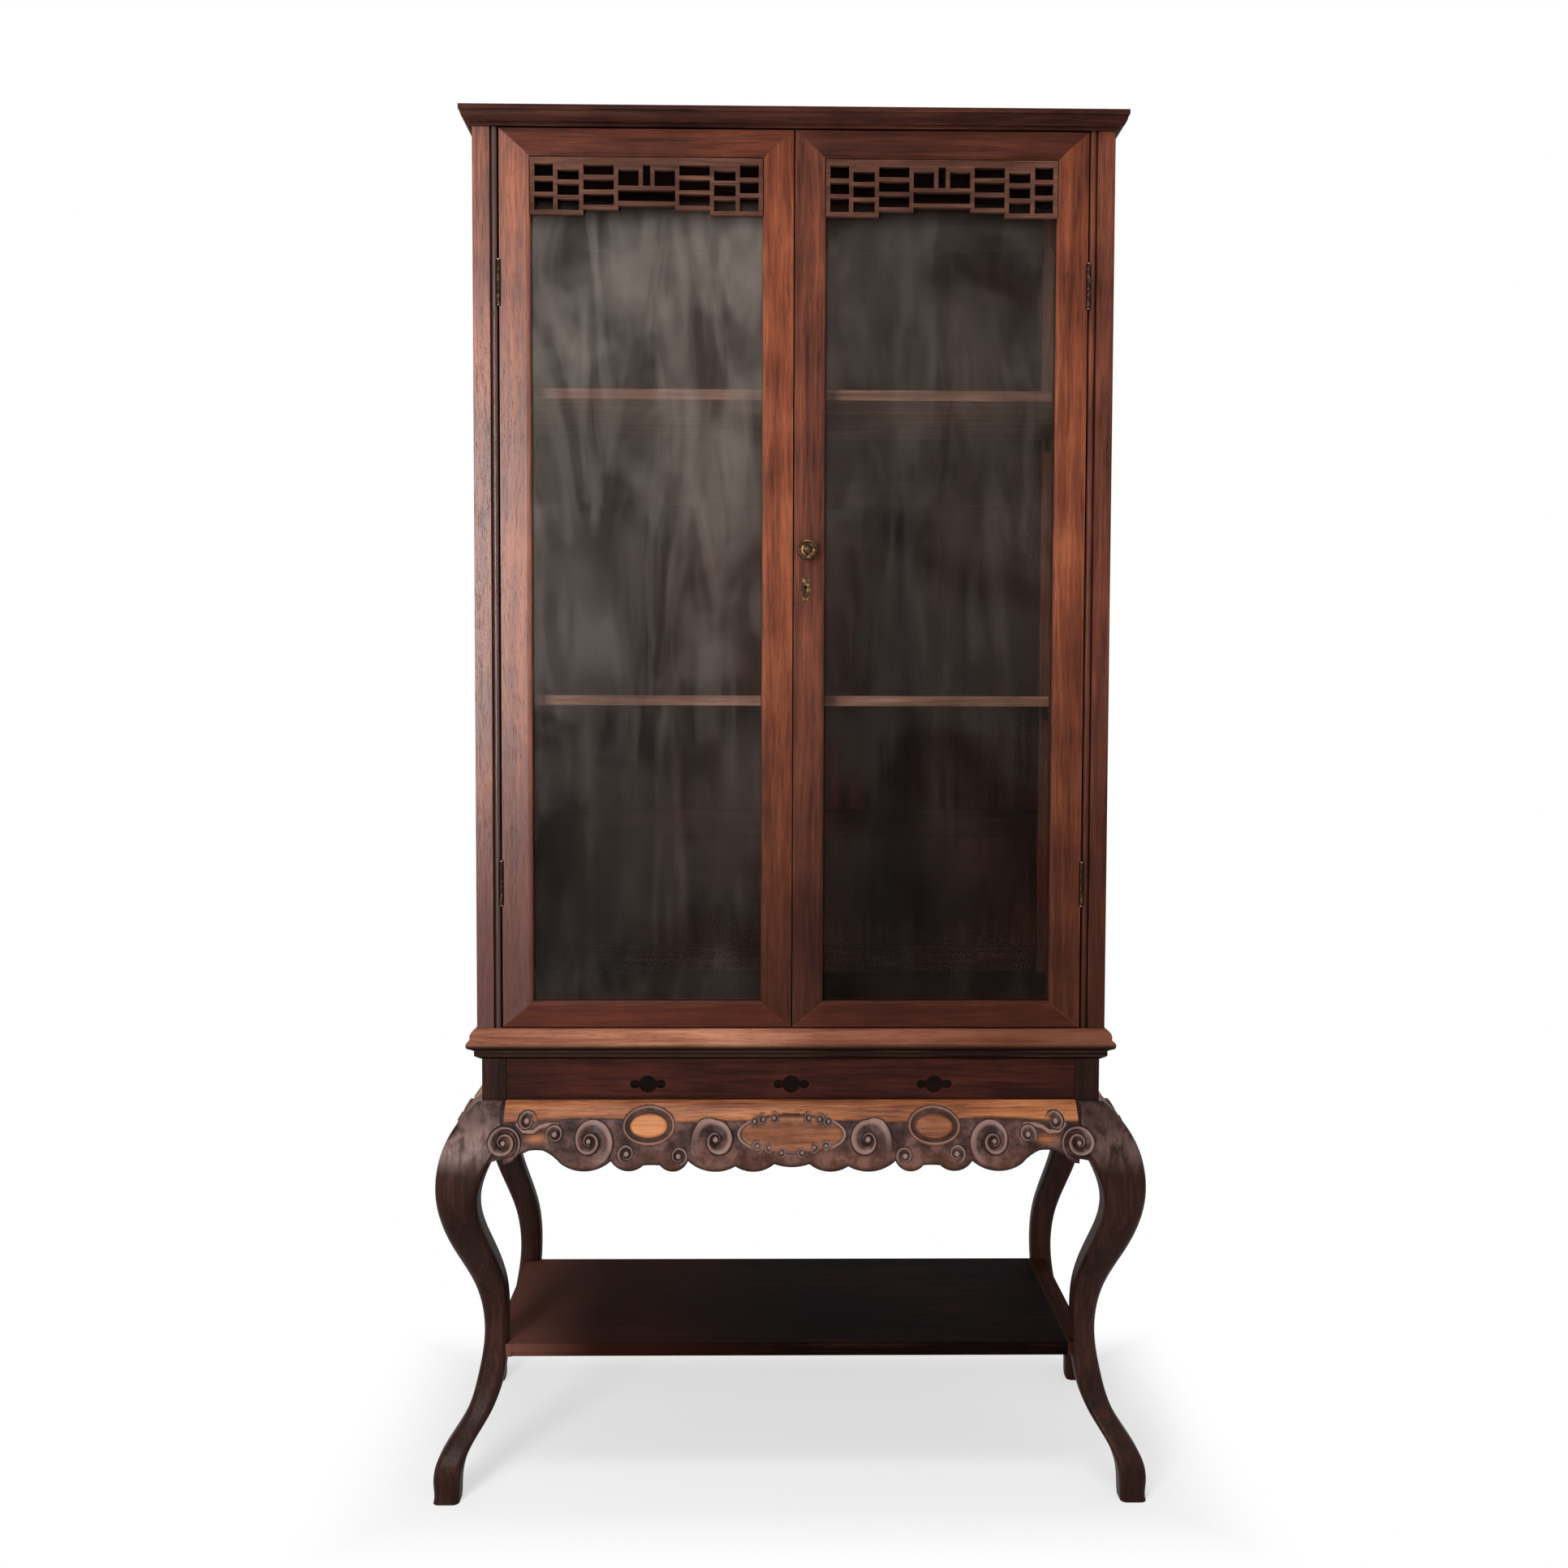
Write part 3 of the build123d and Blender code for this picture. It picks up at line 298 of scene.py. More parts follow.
# the stand frame's lighter tones: partly rubbing, partly painted light on its top-lit beads
MOULDING_TONES = ((100, 58, 42), (142, 90, 68), (172, 118, 92), (190, 142, 116))
WAIST_TONES = ((24, 8, 6), (43, 18, 13), (68, 31, 22), (112, 70, 54))
APRON_TONES = ((88, 44, 26), (148, 90, 56), (184, 120, 78), (200, 142, 100))
LEG_TONES = ((24, 11, 8), (40, 20, 15), (60, 33, 26), (104, 74, 64))
LOW_SHELF_TONES = ((5, 2, 1), (12, 5, 4), (44, 19, 14), (84, 52, 44))
SHELF_END_TONES = ((30, 14, 10), (50, 27, 20), (72, 41, 31), (104, 70, 58))
INSIDE_TONES = ((18, 7, 5), (36, 17, 13), (58, 30, 23), (84, 54, 44))
SHELF_TONES = ((82, 52, 43), (118, 80, 66), (152, 114, 96), (176, 146, 130))
FRET_TONES = ((48, 27, 21), (78, 49, 39), (106, 70, 56), (156, 118, 98))

# Tints, all painted light and shade: painted shade darkens the case towards the stand, the left post's
# bead and the stand frame to the right, a painted shadow lies under the stand frame's bead, and a painted
# patch of light brightens the low shelf at its left.
LOW_CASE_SHADE = (("Z", 1.35, 0.66, (30, 8, 3), 0.78),)
LOW_LEFT_SHADE = (("Z", 1.20, 0.70, (64, 14, 4), 0.88),)
LOW_RAILS_SHADE = (("Z", 1.35, 0.70, (62, 22, 10), 0.5), ("X", 0.0, 0.06, (26, 8, 4), 0.35))
LEFT_POST_SHADE = LOW_LEFT_SHADE + (("X", -0.4125, -0.4105, (44, 24, 20), 0.85),)
HOLLOW_SHADE = (("X", -0.16, 0.42, (84, 43, 30), 0.72), ("Z", 0.632, 0.622, (16, 6, 4), 0.97))
LOW_SHELF_PAINTED_LIGHT = (("X", 0.05, -0.26, (52, 22, 15), 0.45), ("X", -0.26, -0.42, (150, 98, 84), 0.36))
GLEAM_LOOK = {"rough": 0.30, "shine": 0.50, "tints": LOW_LEFT_SHADE}
RAIL_LOOK = {"rough": 0.36, "shine": 0.10, "tints": LOW_RAILS_SHADE}
POST_LOOK = {"rough": 0.30, "shine": 0.50, "tints": LEFT_POST_SHADE}
FRAME_LOOK = {"rough": 0.36, "shine": 0.11, "tints": LOW_CASE_SHADE}
DARK_LOOK = {"rough": 0.42, "shine": 0.06, "wear_and_glint": 0.7}
MOULDING_LOOK = {"rough": 0.38, "shine": 0.07, "tints": HOLLOW_SHADE}
LEG_LOOK = {"rough": 0.34, "shine": 0.09}
CARVED_LOOK = {"rough": 0.30, "shine": 0.13, "corner_shade": 0.6}
HIDDEN_LOOK = {"rough": 0.55, "shine": 0.05, "wear_and_glint": 0.3}
LOW_LOOK = {"rough": 0.70, "shine": 0.02, "tints": LOW_SHELF_PAINTED_LIGHT}

WOODS = (
    (("post_front_left",), "z", FRAME_TONES, POST_LOOK),
    (("door_left_outer_stile",), "z", FRAME_TONES, GLEAM_LOOK),
    (("door_left_inner_stile", "door_right_outer_stile"), "z", FRAME_TONES, FRAME_LOOK),
    (("door_right_inner_stile", "post_front_right"), "z", DARKER_AND_SHADED_TONES, FRAME_LOOK),
    (("post_rear_left", "post_rear_right"), "z", DARKER_AND_SHADED_TONES, FRAME_LOOK),
    (("door_left_rails", "door_right_rails"), "x", RAIL_TONES, RAIL_LOOK),
    (("cornice_front", "cornice_back", "cornice_top_panel"), "x", CORNICE_TONES, DARK_LOOK),
    (("cornice_left", "cornice_right"), "y", CORNICE_TONES, DARK_LOOK),
    (("side_panels",), "z", RAIL_TONES, FRAME_LOOK),
    (("side_rails",), "y", RAIL_TONES, FRAME_LOOK),
    (("back_panels",), "z", INSIDE_TONES, HIDDEN_LOOK),
    (("back_rails", "head_rail"), "x", INSIDE_TONES, HIDDEN_LOOK),
    (("floor_board",), "x", INSIDE_TONES, HIDDEN_LOOK),
    (("shelf_cleats",), "y", INSIDE_TONES, HIDDEN_LOOK),
    (("book_shelf_lower", "book_shelf_upper"), "x", SHELF_TONES, HIDDEN_LOOK),
    (("door_left_glazing_beads", "door_right_glazing_beads"), "z", RAIL_TONES, HIDDEN_LOOK),
    (("door_left_fretwork", "door_right_fretwork"), "x", FRET_TONES, DARK_LOOK),
    (("stand_frame_front", "stand_frame_back"), "x", MOULDING_TONES, MOULDING_LOOK),
    (("stand_frame_left", "stand_frame_right"), "y", MOULDING_TONES, MOULDING_LOOK),
    (("waist_front", "waist_back"), "x", WAIST_TONES, DARK_LOOK),
    (("waist_left", "waist_right"), "y", WAIST_TONES, DARK_LOOK),
    (("apron_front", "apron_back"), "x", LEG_TONES, LEG_LOOK),
    (("apron_left", "apron_right"), "y", LEG_TONES, LEG_LOOK),
    # the front left leg gets more of the dusty coating and painted glint than the other legs
    (("leg_front_left",), "z", LEG_TONES, {**LEG_LOOK, "dust_and_painted_light": 0.72}),
    (("leg_front_right", "leg_rear_left", "leg_rear_right"), "z", LEG_TONES, {**LEG_LOOK, "dust_and_painted_light": 0.25}),
    (("low_shelf_panel", "low_shelf_rails"), "x", LOW_SHELF_TONES, LOW_LOOK),
    (("low_shelf_end_left", "low_shelf_end_right"), "y", SHELF_END_TONES, LOW_LOOK),
)


def dress(name, material):
    for slot in nodes[name].material_slots:
        slot.material = material


for number, (names, grain, tones, look) in enumerate(WOODS):
    for step, name in enumerate(names):
        dress(name, wood("wood_" + name, grain, tones, 1.0 + number * 2.0 + step * 0.83, **look))

# the left pane gets a heavier coating, partly a painted reflection
dress("door_left_glass", pane("pane_left", 3.0, 0.16))
dress("door_right_glass", pane("pane_right", 4.0, 0.055))

brass = metal("old_brass", (136, 104, 70), (56, 41, 32), 0.38, 2.0)
for name in ("knob", "escutcheon", "door_bolt_plate", "door_bolt"):
    dress(name, brass)
dark_brass = metal("dark_brass", (92, 70, 50), (38, 28, 23), 0.44, 7.0)
for name in ("door_left_hinge_leaves", "door_right_hinge_leaves", "hinge_frame_leaves"):
    dress(name, dark_brass)
dress("hinge_pins", metal("bright_pins", (214, 196, 184), (128, 106, 92), 0.36, 9.0))
steel = metal("old_steel", (120, 116, 110), (60, 56, 54), 0.42, 5.0)
for name in ("lock_bolt", "lock_case"):
    dress(name, steel)


# ---------------------------------------------------------------- carving: heights

def smooth(value):
    value = np.clip(value, 0.0, 1.0)
    return value * value * (3 - 2 * value)


class Relief:
    """Heights in millimetres over the bare board, and what the material needs to know of them."""

    def __init__(self, shape, ground):
        self.ground = ground
        self.height = np.full(shape, ground)
        self.polish = np.zeros(shape)
        # crease holds painted shade for grooves and edges; crest holds lighter ridges, partly rubbing and
        # partly a painted highlight
        self.crease_shade = np.zeros(shape)
        self.crest_wear_and_glint = np.zeros(shape)
        self.bright = np.zeros(shape)

    def put(self, where, height, polish=0.0, crease_shade=0.0, crest_wear_and_glint=0.0, bright=0.0):
        self.height = np.where(where, height, self.height)
        self.polish = np.where(where, polish, self.polish)
        self.crease_shade = np.where(where, crease_shade, self.crease_shade)
        self.crest_wear_and_glint = np.where(where, crest_wear_and_glint, self.crest_wear_and_glint)
        self.bright = np.where(where, bright, self.bright)


GROUND = 0.55     # how far the ground stands off the bare board
BAND_Z = 523.0    # height of the plain band's lower edge over the floor
BAND_RISE = 2.0   # of the plain band over the ground
BIG_RISE = 8.5    # of the large scrolls over the ground
SMALL_RISE = 6.0  # of the small scrolls
OVAL_RISE = 4.4
GROOVE = 3.4      # width of the groove beside a coil
BEGIN_TURN = 110  # degrees over which a coil rises out of the ground


def volute(relief, x, z, centre, start, spin, coil, rise):
    """A scroll. coil lists (degrees turned inwards from start, radius); the last radius is the eye's."""
    from_x, from_z = x - centre[0], z - centre[1]
    radius = np.hypot(from_x, from_z)
    turned = (spin * (np.degrees(np.arctan2(from_z, from_x)) - start)) % 360
    turns, radii = zip(*coil)
    eye = radii[-1]
    base, base_polish = relief.height.copy(), relief.polish.copy()
    for lap in range(int(turns[-1] // 360) + 1):
        outer = np.interp(turned + 360 * lap, turns, radii)
        inner = np.interp(turned + 360 * (lap + 1), turns, radii)
        width = np.maximum(outer - inner, 0.01)
        share = np.clip((radius - inner) / width, 0, 1)
        narrow = np.minimum(GROOVE, 0.34 * width)
        foot = smooth((radius - inner) / narrow)
        rim = smooth((outer - radius) / narrow)
        begun = smooth((turned + 360 * lap) / BEGIN_TURN)
        dish = 0.10 + 0.90 * share ** 1.7
        height = relief.ground - 0.3 + rise * dish * foot * rim
        # painted shade at the coil's feet and low in its dish; lighter ridges near the rim, partly rubbing
        # and partly a painted highlight
        crease_shade = np.maximum(1 - np.minimum(foot, rim), 0.35 * (1 - share) ** 1.5)
        crest_wear_and_glint = smooth((share - 0.42) / 0.25) * smooth(rim * 1.6 - 0.5) * 0.54
        relief.put(
            (radius < outer) & (radius >= inner), base * (1 - begun) + height * begun,
            base_polish * (1 - begun), crease_shade * 0.85 * begun, crest_wear_and_glint * begun
        )
    dome = np.sqrt(np.clip(1 - (radius / eye) ** 2, 0, 1))
    # the eye: painted shade round its edge and a lighter dome, partly a painted highlight
    relief.put(
        radius < eye, relief.ground + rise * 0.75 * smooth(dome * 1.6), 0.0,
        0.9 * smooth((radius / eye - 0.75) / 0.25), 0.55 * smooth(dome)
    )


def oval(relief, x, z, centre, boss, ring, rise, bright):
    """A raised boss inside a thin ring. boss and ring are half widths and half heights."""
    from_x, from_z = x - centre[0], z - centre[1]
    radius = np.maximum(np.hypot(from_x, from_z), 0.001)

    def past(half):
        reach = np.hypot(from_x / half[0], from_z / half[1])
        return radius * (1 - 1 / np.maximum(reach, 0.001))

    off_ring, off_boss = past(ring), past(boss)
    # painted shade in the trough round the ring, along the ring's bead and at the boss's foot; the bead's
    # top is lighter, partly a painted highlight
    relief.put(off_ring < 3.0, relief.ground - 0.2, 0.1, 0.5 * (1 - smooth((off_ring - 1.6) / 1.4)))
    bead = np.clip(1 - (off_ring / 2.0) ** 2, 0, 1) ** 0.5
    relief.put(
        np.abs(off_ring) < 2.0, relief.ground - 0.2 + rise * 0.7 * bead, 0.35,
        0.8 * smooth((np.abs(off_ring) - 1.3) / 0.7), 0.35 * smooth(bead * 1.4 - 0.5)
    )
    inside = np.clip(-off_boss, 0, 6.0) / 6.0
    relief.put(
        off_boss < 0, relief.ground + rise * (1 - (1 - inside) ** 2.4), 0.58,
        0.8 * (1 - smooth(inside * 6)), 0.0, bright * smooth(inside * 2.5)
    )


def ribbon(relief, x, z, points, width, rise, crest_wear_and_glint=0.5):
    """A raised cord of wood that follows points."""
    nearest = np.full(x.shape, 1e9)
    for (ax, az), (bx, bz) in zip(points[:-1], points[1:]):
        dx, dz = bx - ax, bz - az
        share = np.clip(((x - ax) * dx + (z - az) * dz) / (dx * dx + dz * dz), 0, 1)
        nearest = np.minimum(nearest, np.hypot(x - ax - share * dx, z - az - share * dz))
    bead = np.clip(1 - (nearest / width) ** 2, 0, 1) ** 0.6
    # painted shade along the cord's edges and a lighter top, partly a painted highlight
    edge = smooth((nearest - 0.72 * width) / (0.28 * width))
    relief.put(
        nearest < width, relief.ground - 0.1 + rise * bead, 0.15,
        edge * 0.85, crest_wear_and_glint * smooth(bead * 1.5 - 0.5)
    )


# Volutes: centre (mm from the middle, mm above the floor), where the coil starts, which way it turns
# and its radii on the way in.
BIG_OUTER_COIL = ((0, 36), (90, 35), (180, 27), (270, 19.5), (360, 17.5), (450, 15), (540, 10.5),
                  (630, 8), (720, 5.6), (800, 3.6))
BIG_INNER_COIL = ((0, 38), (45, 35), (90, 33), (135, 25), (225, 25), (270, 23), (315, 19), (360, 15.5),
                  (405, 12.5), (495, 9.5), (585, 6.5), (675, 4.2))
CORNER_COIL = ((0, 28), (90, 25), (170, 21), (270, 23), (360, 18), (450, 16), (540, 12), (630, 9),
               (720, 6), (790, 3.6))
SMALL_COIL = ((0, 15), (180, 13), (360, 8), (450, 5.6), (520, 4.0))
TINY_COIL = ((0, 8.5), (180, 7.0), (360, 4.4), (450, 2.6))
CORNER_CENTRE = (394.5, 498.0)
CORD = ((377, 519), (368, 511), (355, 510), (346, 516), (336, 518.5), (322, 518.5))
CARTOUCHE_Z, CARTOUCHE_HALF_WIDTH, CARTOUCHE_HALF_HEIGHT = 507, 73, 24.5


def front_relief(x, z):
    """The front apron's carving; the two halves mirror each other."""
    side = np.abs(x)
    relief = Relief(x.shape, GROUND)
    # plain band along the top, with a soft lower edge that dips between the scrolls
    band_edge = BAND_Z + 2.5 * np.cos(side / 44.0) - 3.0 * smooth((90 - side) / 60)
    above = (z - band_edge) / 4.0
    relief.height = relief.ground + BAND_RISE * smooth(above)
    relief.polish = smooth(above * 1.2)
    # painted shade along the band's lower edge
    relief.crease_shade = 0.35 * smooth(1 - np.abs(above - 0.1) * 1.6)
    # soft lobes below the scrolls
    lobe = smooth((494 - z) / 14)
    relief.height = relief.height + 1.3 * lobe
    relief.polish = np.maximum(relief.polish, 0.10 * lobe)
    neck = smooth(1 - np.hypot((side - 350) / 26, (z - 502) / 10))
    relief.polish = np.maximum(relief.polish, 0.8 * neck)
    ribbon(relief, side, z, CORD, 3.4, 3.0)
    volute(relief, side, z, (278, 498), -90, -1, BIG_OUTER_COIL, BIG_RISE)
    volute(relief, side, z, (104.5, 500), -45, 1, BIG_INNER_COIL, BIG_RISE)
    volute(relief, side, z, (364.4, 522), 200, -1, SMALL_COIL, SMALL_RISE)
    volute(relief, side, z, (325, 506.5), -60, 1, SMALL_COIL, SMALL_RISE)
    volute(relief, side, z, (226, 483), -110, 1, SMALL_COIL, SMALL_RISE)
    volute(relief, side, z, (155, 480), -70, -1, SMALL_COIL, SMALL_RISE)
    for sign, bright in ((-1, 1.0), (1, 0.0)):
        # the left boss is coloured brighter than the right one
        oval(relief, x, z, (sign * 196.5, 517), (26.5, 15), (34.0, 21.5), OVAL_RISE, bright)
    # cartouche
    reach = np.hypot(x / CARTOUCHE_HALF_WIDTH, (z - CARTOUCHE_Z) / CARTOUCHE_HALF_HEIGHT)
    radius = np.maximum(np.hypot(x, z - CARTOUCHE_Z), 0.001)
    outside = radius * (1 - 1 / np.maximum(reach, 0.001))
    # painted shade round the cartouche's edge and along its bead, whose top is lighter, partly a painted
    # highlight
    relief.put(
        outside < 0, relief.ground + 1.6 * smooth(-outside / 8), smooth(-outside / 7) * 0.55,
        0.7 * smooth((outside + 3) / 3), 0.0
    )
    bead = np.clip(1 - (outside / 2.6) ** 2, 0, 1) ** 0.5
    ends = smooth((side - 44) / 6)
    relief.put(
        (np.abs(outside) < 2.6) & (side > 42), relief.ground - 0.1 + 3.2 * bead * ends, 0.1,
        0.8 * smooth((np.abs(outside) - 1.7) / 0.9), 0.6 * smooth(bead * 1.4 - 0.5) * ends
    )
    for centre, start, spin in (((39, 524.5), 150, -1), ((24, 526), 20, 1), ((31, 491), 200, 1),
                                ((14, 484.5), -20, -1), ((47, 493), -60, 1), ((51, 522), 60, 1)):
        volute(relief, side, z, centre, start, spin, TINY_COIL, 3.2)
    return relief


def side_relief(across, z):
    """The side aprons' carving, mirrored about their middle."""
    side = np.abs(across)
    relief = Relief(across.shape, GROUND)
    above = (z - BAND_Z - 2.0 * np.cos(side / 40.0)) / 4.0
    relief.height = relief.ground + BAND_RISE * smooth(above)
    relief.polish = smooth(above * 1.2)
    # painted shade along the band's lower edge
    relief.crease_shade = 0.35 * smooth(1 - np.abs(above - 0.1) * 1.6)
    volute(relief, side, z, (88, 500), -45, 1, BIG_INNER_COIL, BIG_RISE)
    volute(relief, side, z, (136, 508), -60, 1, SMALL_COIL, SMALL_RISE)
    oval(relief, side, z, (0, 516), (26.5, 14), (34.0, 20.5), OVAL_RISE, 0.4)
    return relief


# ---------------------------------------------------------------- carving: meshes

def solid_tree(*names):
    """A tree of the nodes' own faces, to find their surfaces with rays."""
    points, faces = [], []
    for name in names:
        mesh = nodes[name].data
        first = len(points)
        points += [vertex.co.copy() for vertex in mesh.vertices]
        faces += [[corner + first for corner in face.vertices] for face in mesh.polygons]
    return BVHTree.FromPolygons(points, faces)


def hit(tree, along, z, axis, towards):
    """Where a ray across the board meets it: the coordinate along axis, or None."""
    if axis == 1:
        origin = Vector((along, -towards * 2.0, z))
        found = tree.ray_cast(origin, Vector((0, towards, 0)))[0]
    else:
        origin = Vector((-towards * 2.0, along, z))
        found = tree.ray_cast(origin, Vector((towards, 0, 0)))[0]
    return None if found is None else found[axis]


def make_object(name, points, faces, marks, material):
    mesh = bpy.data.meshes.new(name)
    mesh.from_pydata(points, [], faces)
    attribute = mesh.attributes.new("carving", "FLOAT_COLOR", "POINT")
    attribute.data.foreach_set("color", np.asarray(marks, dtype=np.float32).ravel())
    mesh.materials.append(material)
    for face in mesh.polygons:
        face.use_smooth = True
    mesh.update()
    made = bpy.data.objects.new(name, mesh)
    bpy.context.scene.collection.objects.link(made)
    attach(made, "cabinet")
    return made


TOP_Z = 0.5455
STEP = 0.00095             # between columns
ROWS = 88
EDGE_SEARCH = 0.455, 0.53  # heights between which the scalloped edge lies
TUCK = 0.002               # how far the skin's upper and lower rims turn into the board


def skin(name, node, span_low, span_high, axis, towards, middle, relief_of, material):
    """A carved face over one apron: columns across it, each from the top to the scalloped edge."""
    tree = solid_tree(node)
    count = int(round((span_high - span_low) / STEP)) + 1
    alongs = np.linspace(span_low, span_high, count)
    places = np.zeros((count, ROWS, 3))
    for column, along in enumerate(alongs):
        low, high = EDGE_SEARCH
        for _ in range(12):
            trial = (low + high) / 2
            if hit(tree, along, trial, axis, towards) is None:
                low = trial
            else:
                high = trial
        edge = high + 0.0002
        for row, z in enumerate(np.linspace(TOP_Z, edge, ROWS)):
            places[column, row] = (along, hit(tree, along, z, axis, towards), z)
    relief = relief_of((places[:, :, 0] - middle) * 1000, places[:, :, 2] * 1000)
    # painted shade: a dark line along the scalloped edge
    lip_shade = smooth((np.arange(ROWS) - (ROWS - 9)) / 7)[None, :]
    relief.crease_shade = np.maximum(relief.crease_shade, 0.72 * lip_shade)
    depth, level = places[:, :, 1], places[:, :, 2]
    run_depth = np.gradient(depth, axis=1)
    run_level = np.gradient(level, axis=1)
    length = np.hypot(run_depth, run_level)
    # the outward direction across (depth, level)
    normal_depth = -towards * np.abs(run_level) / length
    normal_level = towards * run_depth * np.sign(run_level) / length
    edge_fall = smooth(np.minimum(1, (ROWS - 1 - np.arange(ROWS)) / 2.0))
    height = relief.height * (0.35 + 0.65 * edge_fall)[None, :] * MM
    out_depth = depth + normal_depth * height
    out_level = level + normal_level * height
    lattice = np.zeros((count, ROWS + 2, 3))
    lattice[:, 1:-1, 0] = places[:, :, 0]
    lattice[:, 1:-1, 1] = out_depth
    lattice[:, 1:-1, 2] = out_level
    lattice[:, 0] = lattice[:, 1]
    lattice[:, 0, 1] = depth[:, 0] + towards * TUCK
    lattice[:, -1] = lattice[:, -2]
    lattice[:, -1, 1] = depth[:, -1] + towards * TUCK
    lattice[:, -1, 2] = level[:, -1] + 0.0004
    marks = np.zeros((count, ROWS + 2, 4))
    for channel, values in enumerate((relief.polish, relief.crease_shade, relief.crest_wear_and_glint, relief.bright)):
        marks[:, 1:-1, channel] = values
        marks[:, 0, channel] = values[:, 0]
        marks[:, -1, channel] = values[:, -1]
    # ends turn into the board
    first, last = lattice[:1].copy(), lattice[-1:].copy()
    for end in (first, last):
        end[:, 1:-1, 1] = end[:, 1:-1, 1] + towards * 0.004
    lattice = np.concatenate((first, lattice, last))
    marks = np.concatenate((marks[:1], marks, marks[-1:]))
    columns, tall = lattice.shape[:2]
    if axis == 1:
        points = lattice[:, :, (0, 1, 2)]
    else:
        points = lattice[:, :, (1, 0, 2)]
    faces = []
    for column in range(columns - 1):
        for row in range(tall - 1):
            corner = column * tall + row
            face = [corner, corner + 1, corner + tall + 1, corner + tall]
            faces.append(face if (axis == 1) == (towards > 0) else face[::-1])
    return make_object(name, points.reshape(-1, 3).tolist(), faces, marks.reshape(-1, 4), material)


def corner_scroll(name, sign, tree, material):
    """The scroll across the joint of the apron and a front leg, on a disc of its own."""
    centre_x, centre_z = sign * CORNER_CENTRE[0], CORNER_CENTRE[1]
    around, rings = 180, 56
    points, marks, faces = [], [], []
    outer_turns, outer_radii = zip(*CORNER_COIL)
    for ring in range(rings + 1):
        for step in range(around):
            angle = math.radians(360 * step / around)
            # the disc's own outline is the coil's first lap
            turned = (-1 * (math.degrees(angle) + 90)) % 360
            limit = float(np.interp(turned, outer_turns, outer_radii))
            share = min(1.0, ring / (rings - 1))
            radius = max(0.05, limit * share)
            x = centre_x + sign * radius * math.cos(angle)
            z = centre_z + radius * math.sin(angle)
            points.append((x, z, ring == rings))
    flat_x = np.array([abs(p[0]) for p in points])
    flat_z = np.array([p[1] for p in points])
    relief = Relief(flat_x.shape, 0.3)
    volute(relief, flat_x, flat_z, CORNER_CENTRE, -90, -1, CORNER_COIL, BIG_RISE)
    made = []
    for number, (x, z, tuck) in enumerate(points):
        found = hit(tree, x * MM, z * MM, 1, 1)
        below = 0.0
        while found is None and below < 12:
            below += 0.5
            found = hit(tree, x * MM, (z + below) * MM, 1, 1)
        depth = found if found is not None else -0.2
        out = relief.height[number] * MM
        made.append((x * MM, depth - out + (0.003 if tuck else 0.0), z * MM))
        marks.append((relief.polish[number], relief.crease_shade[number], relief.crest_wear_and_glint[number], 0.0))
    for ring in range(rings):
        for step in range(around):
            following = (step + 1) % around
            face = [ring * around + step, ring * around + following,
                    (ring + 1) * around + following, (ring + 1) * around + step]
            faces.append(face if sign > 0 else face[::-1])
    return make_object(name, made, faces, marks, material)


carved = wood("wood_carved_front", "x", APRON_TONES, 41.0, carving=True, **CARVED_LOOK)
carved_side = wood("wood_carved_side", "y", APRON_TONES, 43.0, carving=True, **CARVED_LOOK)
skin("front_apron_carving", "apron_front", -0.3966, 0.3966, 1, 1, 0.0, front_relief, carved)
side_middle = (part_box("apron_left")[0].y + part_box("apron_left")[1].y) / 2
skin("left_apron_carving", "apron_left", -0.125, 0.165, 0, 1, side_middle, side_relief, carved_side)
skin("right_apron_carving", "apron_right", -0.125, 0.165, 0, -1, side_middle, side_relief, carved_side)
corner_tree = solid_tree("apron_front", "leg_front_left", "leg_front_right")
corner_scroll("corner_scroll_left", -1, corner_tree, carved)
corner_scroll("corner_scroll_right", 1, corner_tree, carved)


# ---------------------------------------------------------------- studio

def area_light(name, place, target, width, height, watts, colour=(1.0, 1.0, 1.0)):
    data = bpy.data.lights.new(name, "AREA")
    data.shape = "RECTANGLE"
    data.size = width
    data.size_y = height
    data.energy = watts
    data.color = colour
    made = bpy.data.objects.new(name, data)
    aim = Vector(target) - Vector(place)
    made.matrix_world = Matrix.Translation(place) @ aim.to_track_quat("-Z", "Y").to_matrix().to_4x4()
    bpy.context.scene.collection.objects.link(made)


# the window stands so far left that, from the camera, the left woods gleam and no shut pane mirrors it
area_light("window", (-1.45, -3.2, 1.55), (0, 0, 1.15), 0.75, 1.6, 82, (1.0, 0.98, 0.97))
area_light("fill", (2.5, -3.0, 1.7), (0, 0, 1.0), 2.2, 2.4, 16)
area_light("top", (-0.4, -1.5, 4.0), (0, 0, 0.9), 1.1, 1.1, 44)

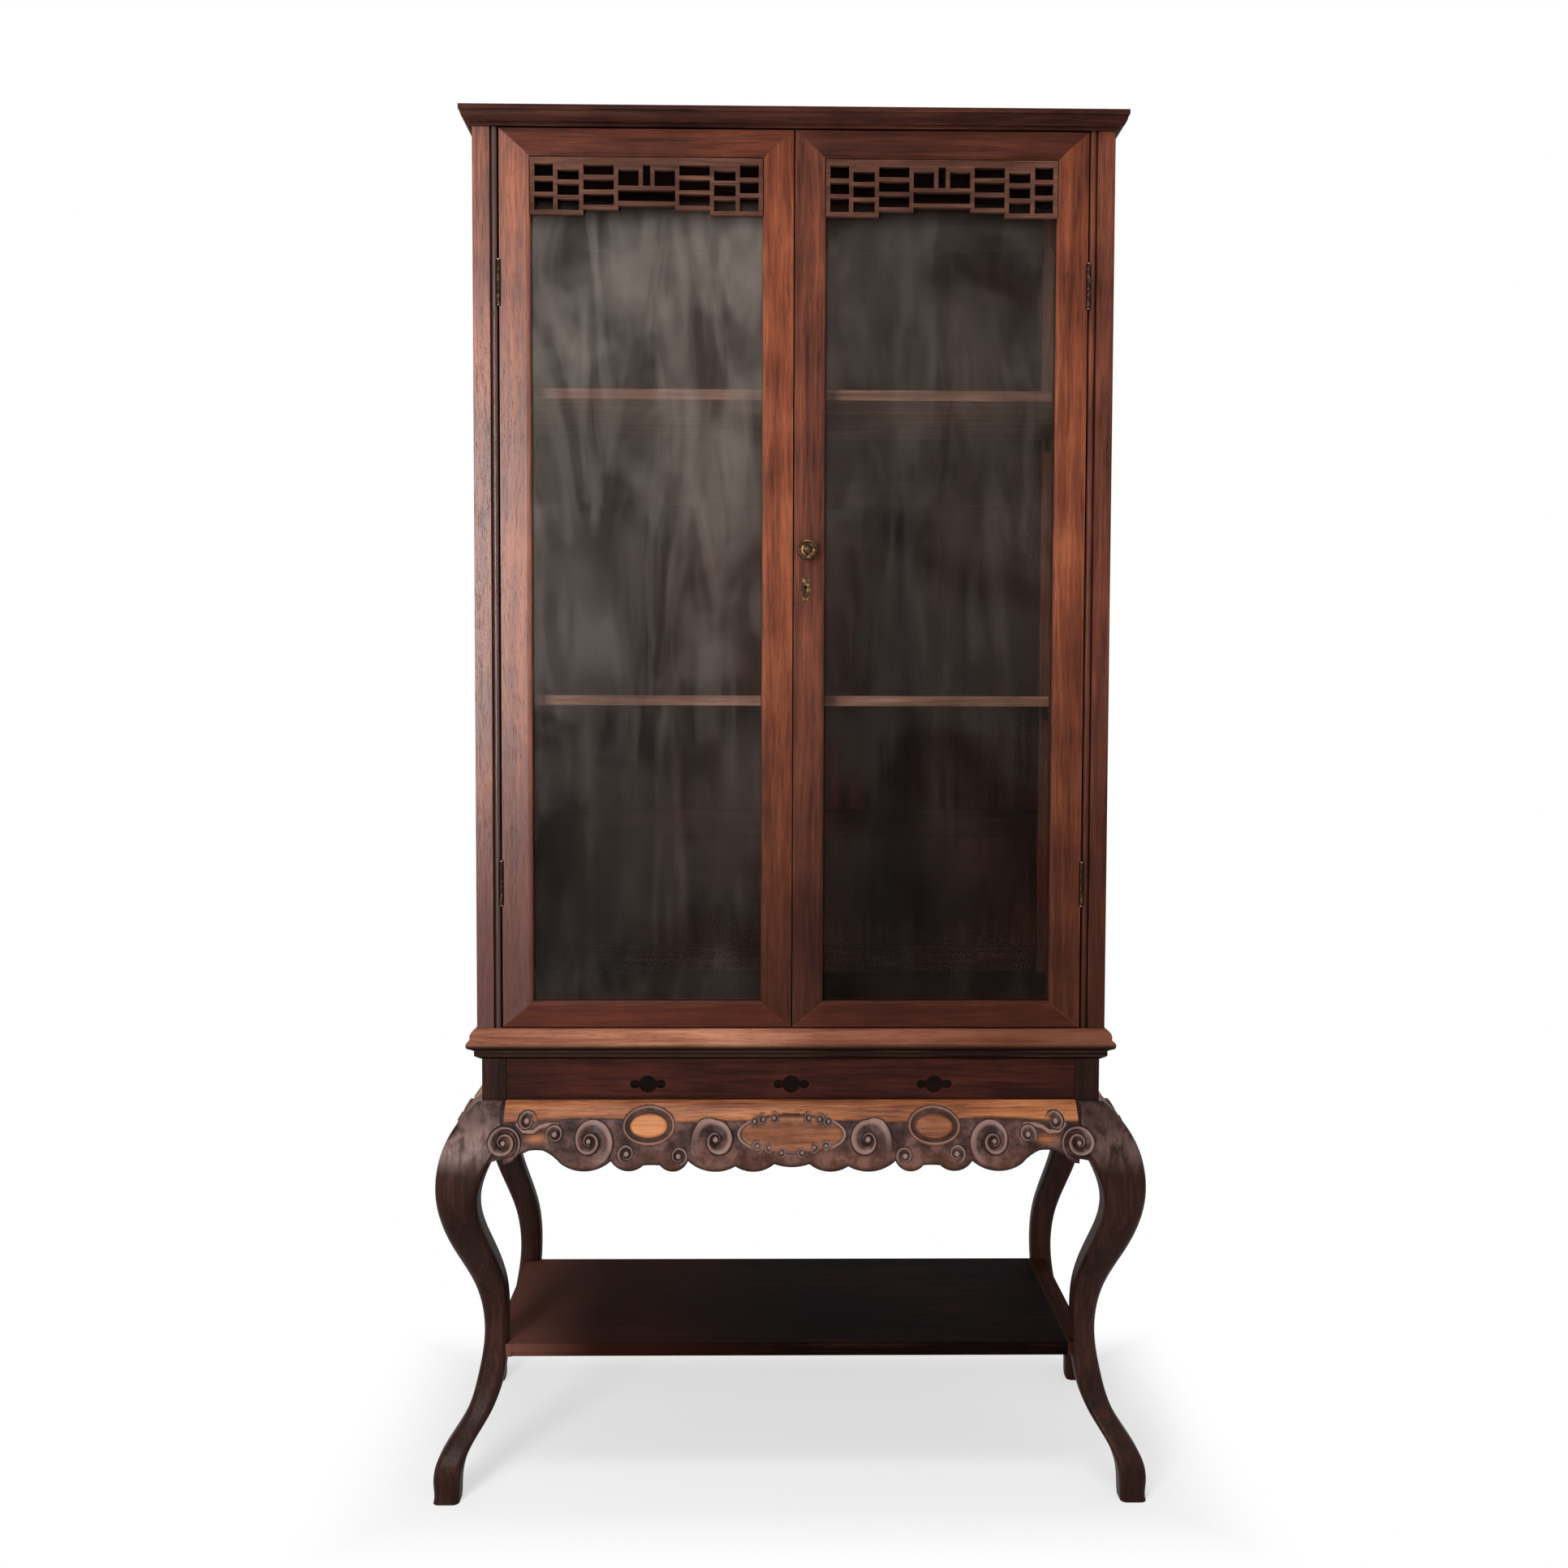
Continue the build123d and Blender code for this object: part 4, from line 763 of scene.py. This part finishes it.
FLOOR_HALF = 30.0
FOOTPRINT_HALF = {"X": 0.49, "Y": 0.22}
floor_mesh = bpy.data.meshes.new("floor")
corners = [(x * FLOOR_HALF, y * FLOOR_HALF, 0.0) for x, y in ((-1, -1), (1, -1), (1, 1), (-1, 1))]
floor_mesh.from_pydata(corners, [], [(0, 1, 2, 3)])
floor = bpy.data.objects.new("floor", floor_mesh)
bpy.context.scene.collection.objects.link(floor)
floor_material, tree = blank_material("pale_floor")
place = add(tree, "ShaderNodeTexCoord").outputs["Object"]
parts = add(tree, "ShaderNodeSeparateXYZ", {"Vector": place}).outputs
past = []
for axis, half in FOOTPRINT_HALF.items():
    beyond = calc(tree, "SUBTRACT", calc(tree, "ABSOLUTE", parts[axis]), half)
    past.append(calc(tree, "MAXIMUM", beyond, 0.0))
far = calc(tree, "MAXIMUM", past[0], past[1])
camera_ray = add(tree, "ShaderNodeLightPath").outputs["Is Camera Ray"]
share = calc(tree, "ADD", calc(tree, "MULTIPLY", span(tree, far, 0.0, 0.18), 0.42), 0.58)
share = calc(tree, "MULTIPLY", share, camera_ray)
matt = add(tree, "ShaderNodeBsdfDiffuse", {"Color": tone(247, 247, 247)}).outputs[0]
white = add(tree, "ShaderNodeEmission", {"Color": (1, 1, 1, 1), "Strength": 1.0}).outputs[0]
shown = add(tree, "ShaderNodeMixShader", {0: share, 1: matt, 2: white}).outputs[0]
add(tree, "ShaderNodeOutputMaterial", {"Surface": shown})
floor_mesh.materials.append(floor_material)

world = bpy.data.worlds.new("studio")
bpy.context.scene.world = world
world.use_nodes = True
tree = world.node_tree
tree.nodes.clear()
rays = add(tree, "ShaderNodeLightPath").outputs
seen = calc(tree, "MAXIMUM", rays["Is Camera Ray"], rays["Is Glossy Ray"])
seen = calc(tree, "MAXIMUM", seen, rays["Is Transmission Ray"])
strength = calc(tree, "ADD", calc(tree, "MULTIPLY", seen, 0.65), 0.35)
sky = add(tree, "ShaderNodeBackground", {"Color": (1, 1, 1, 1), "Strength": strength})
add(tree, "ShaderNodeOutputWorld", {"Surface": sky.outputs[0]})
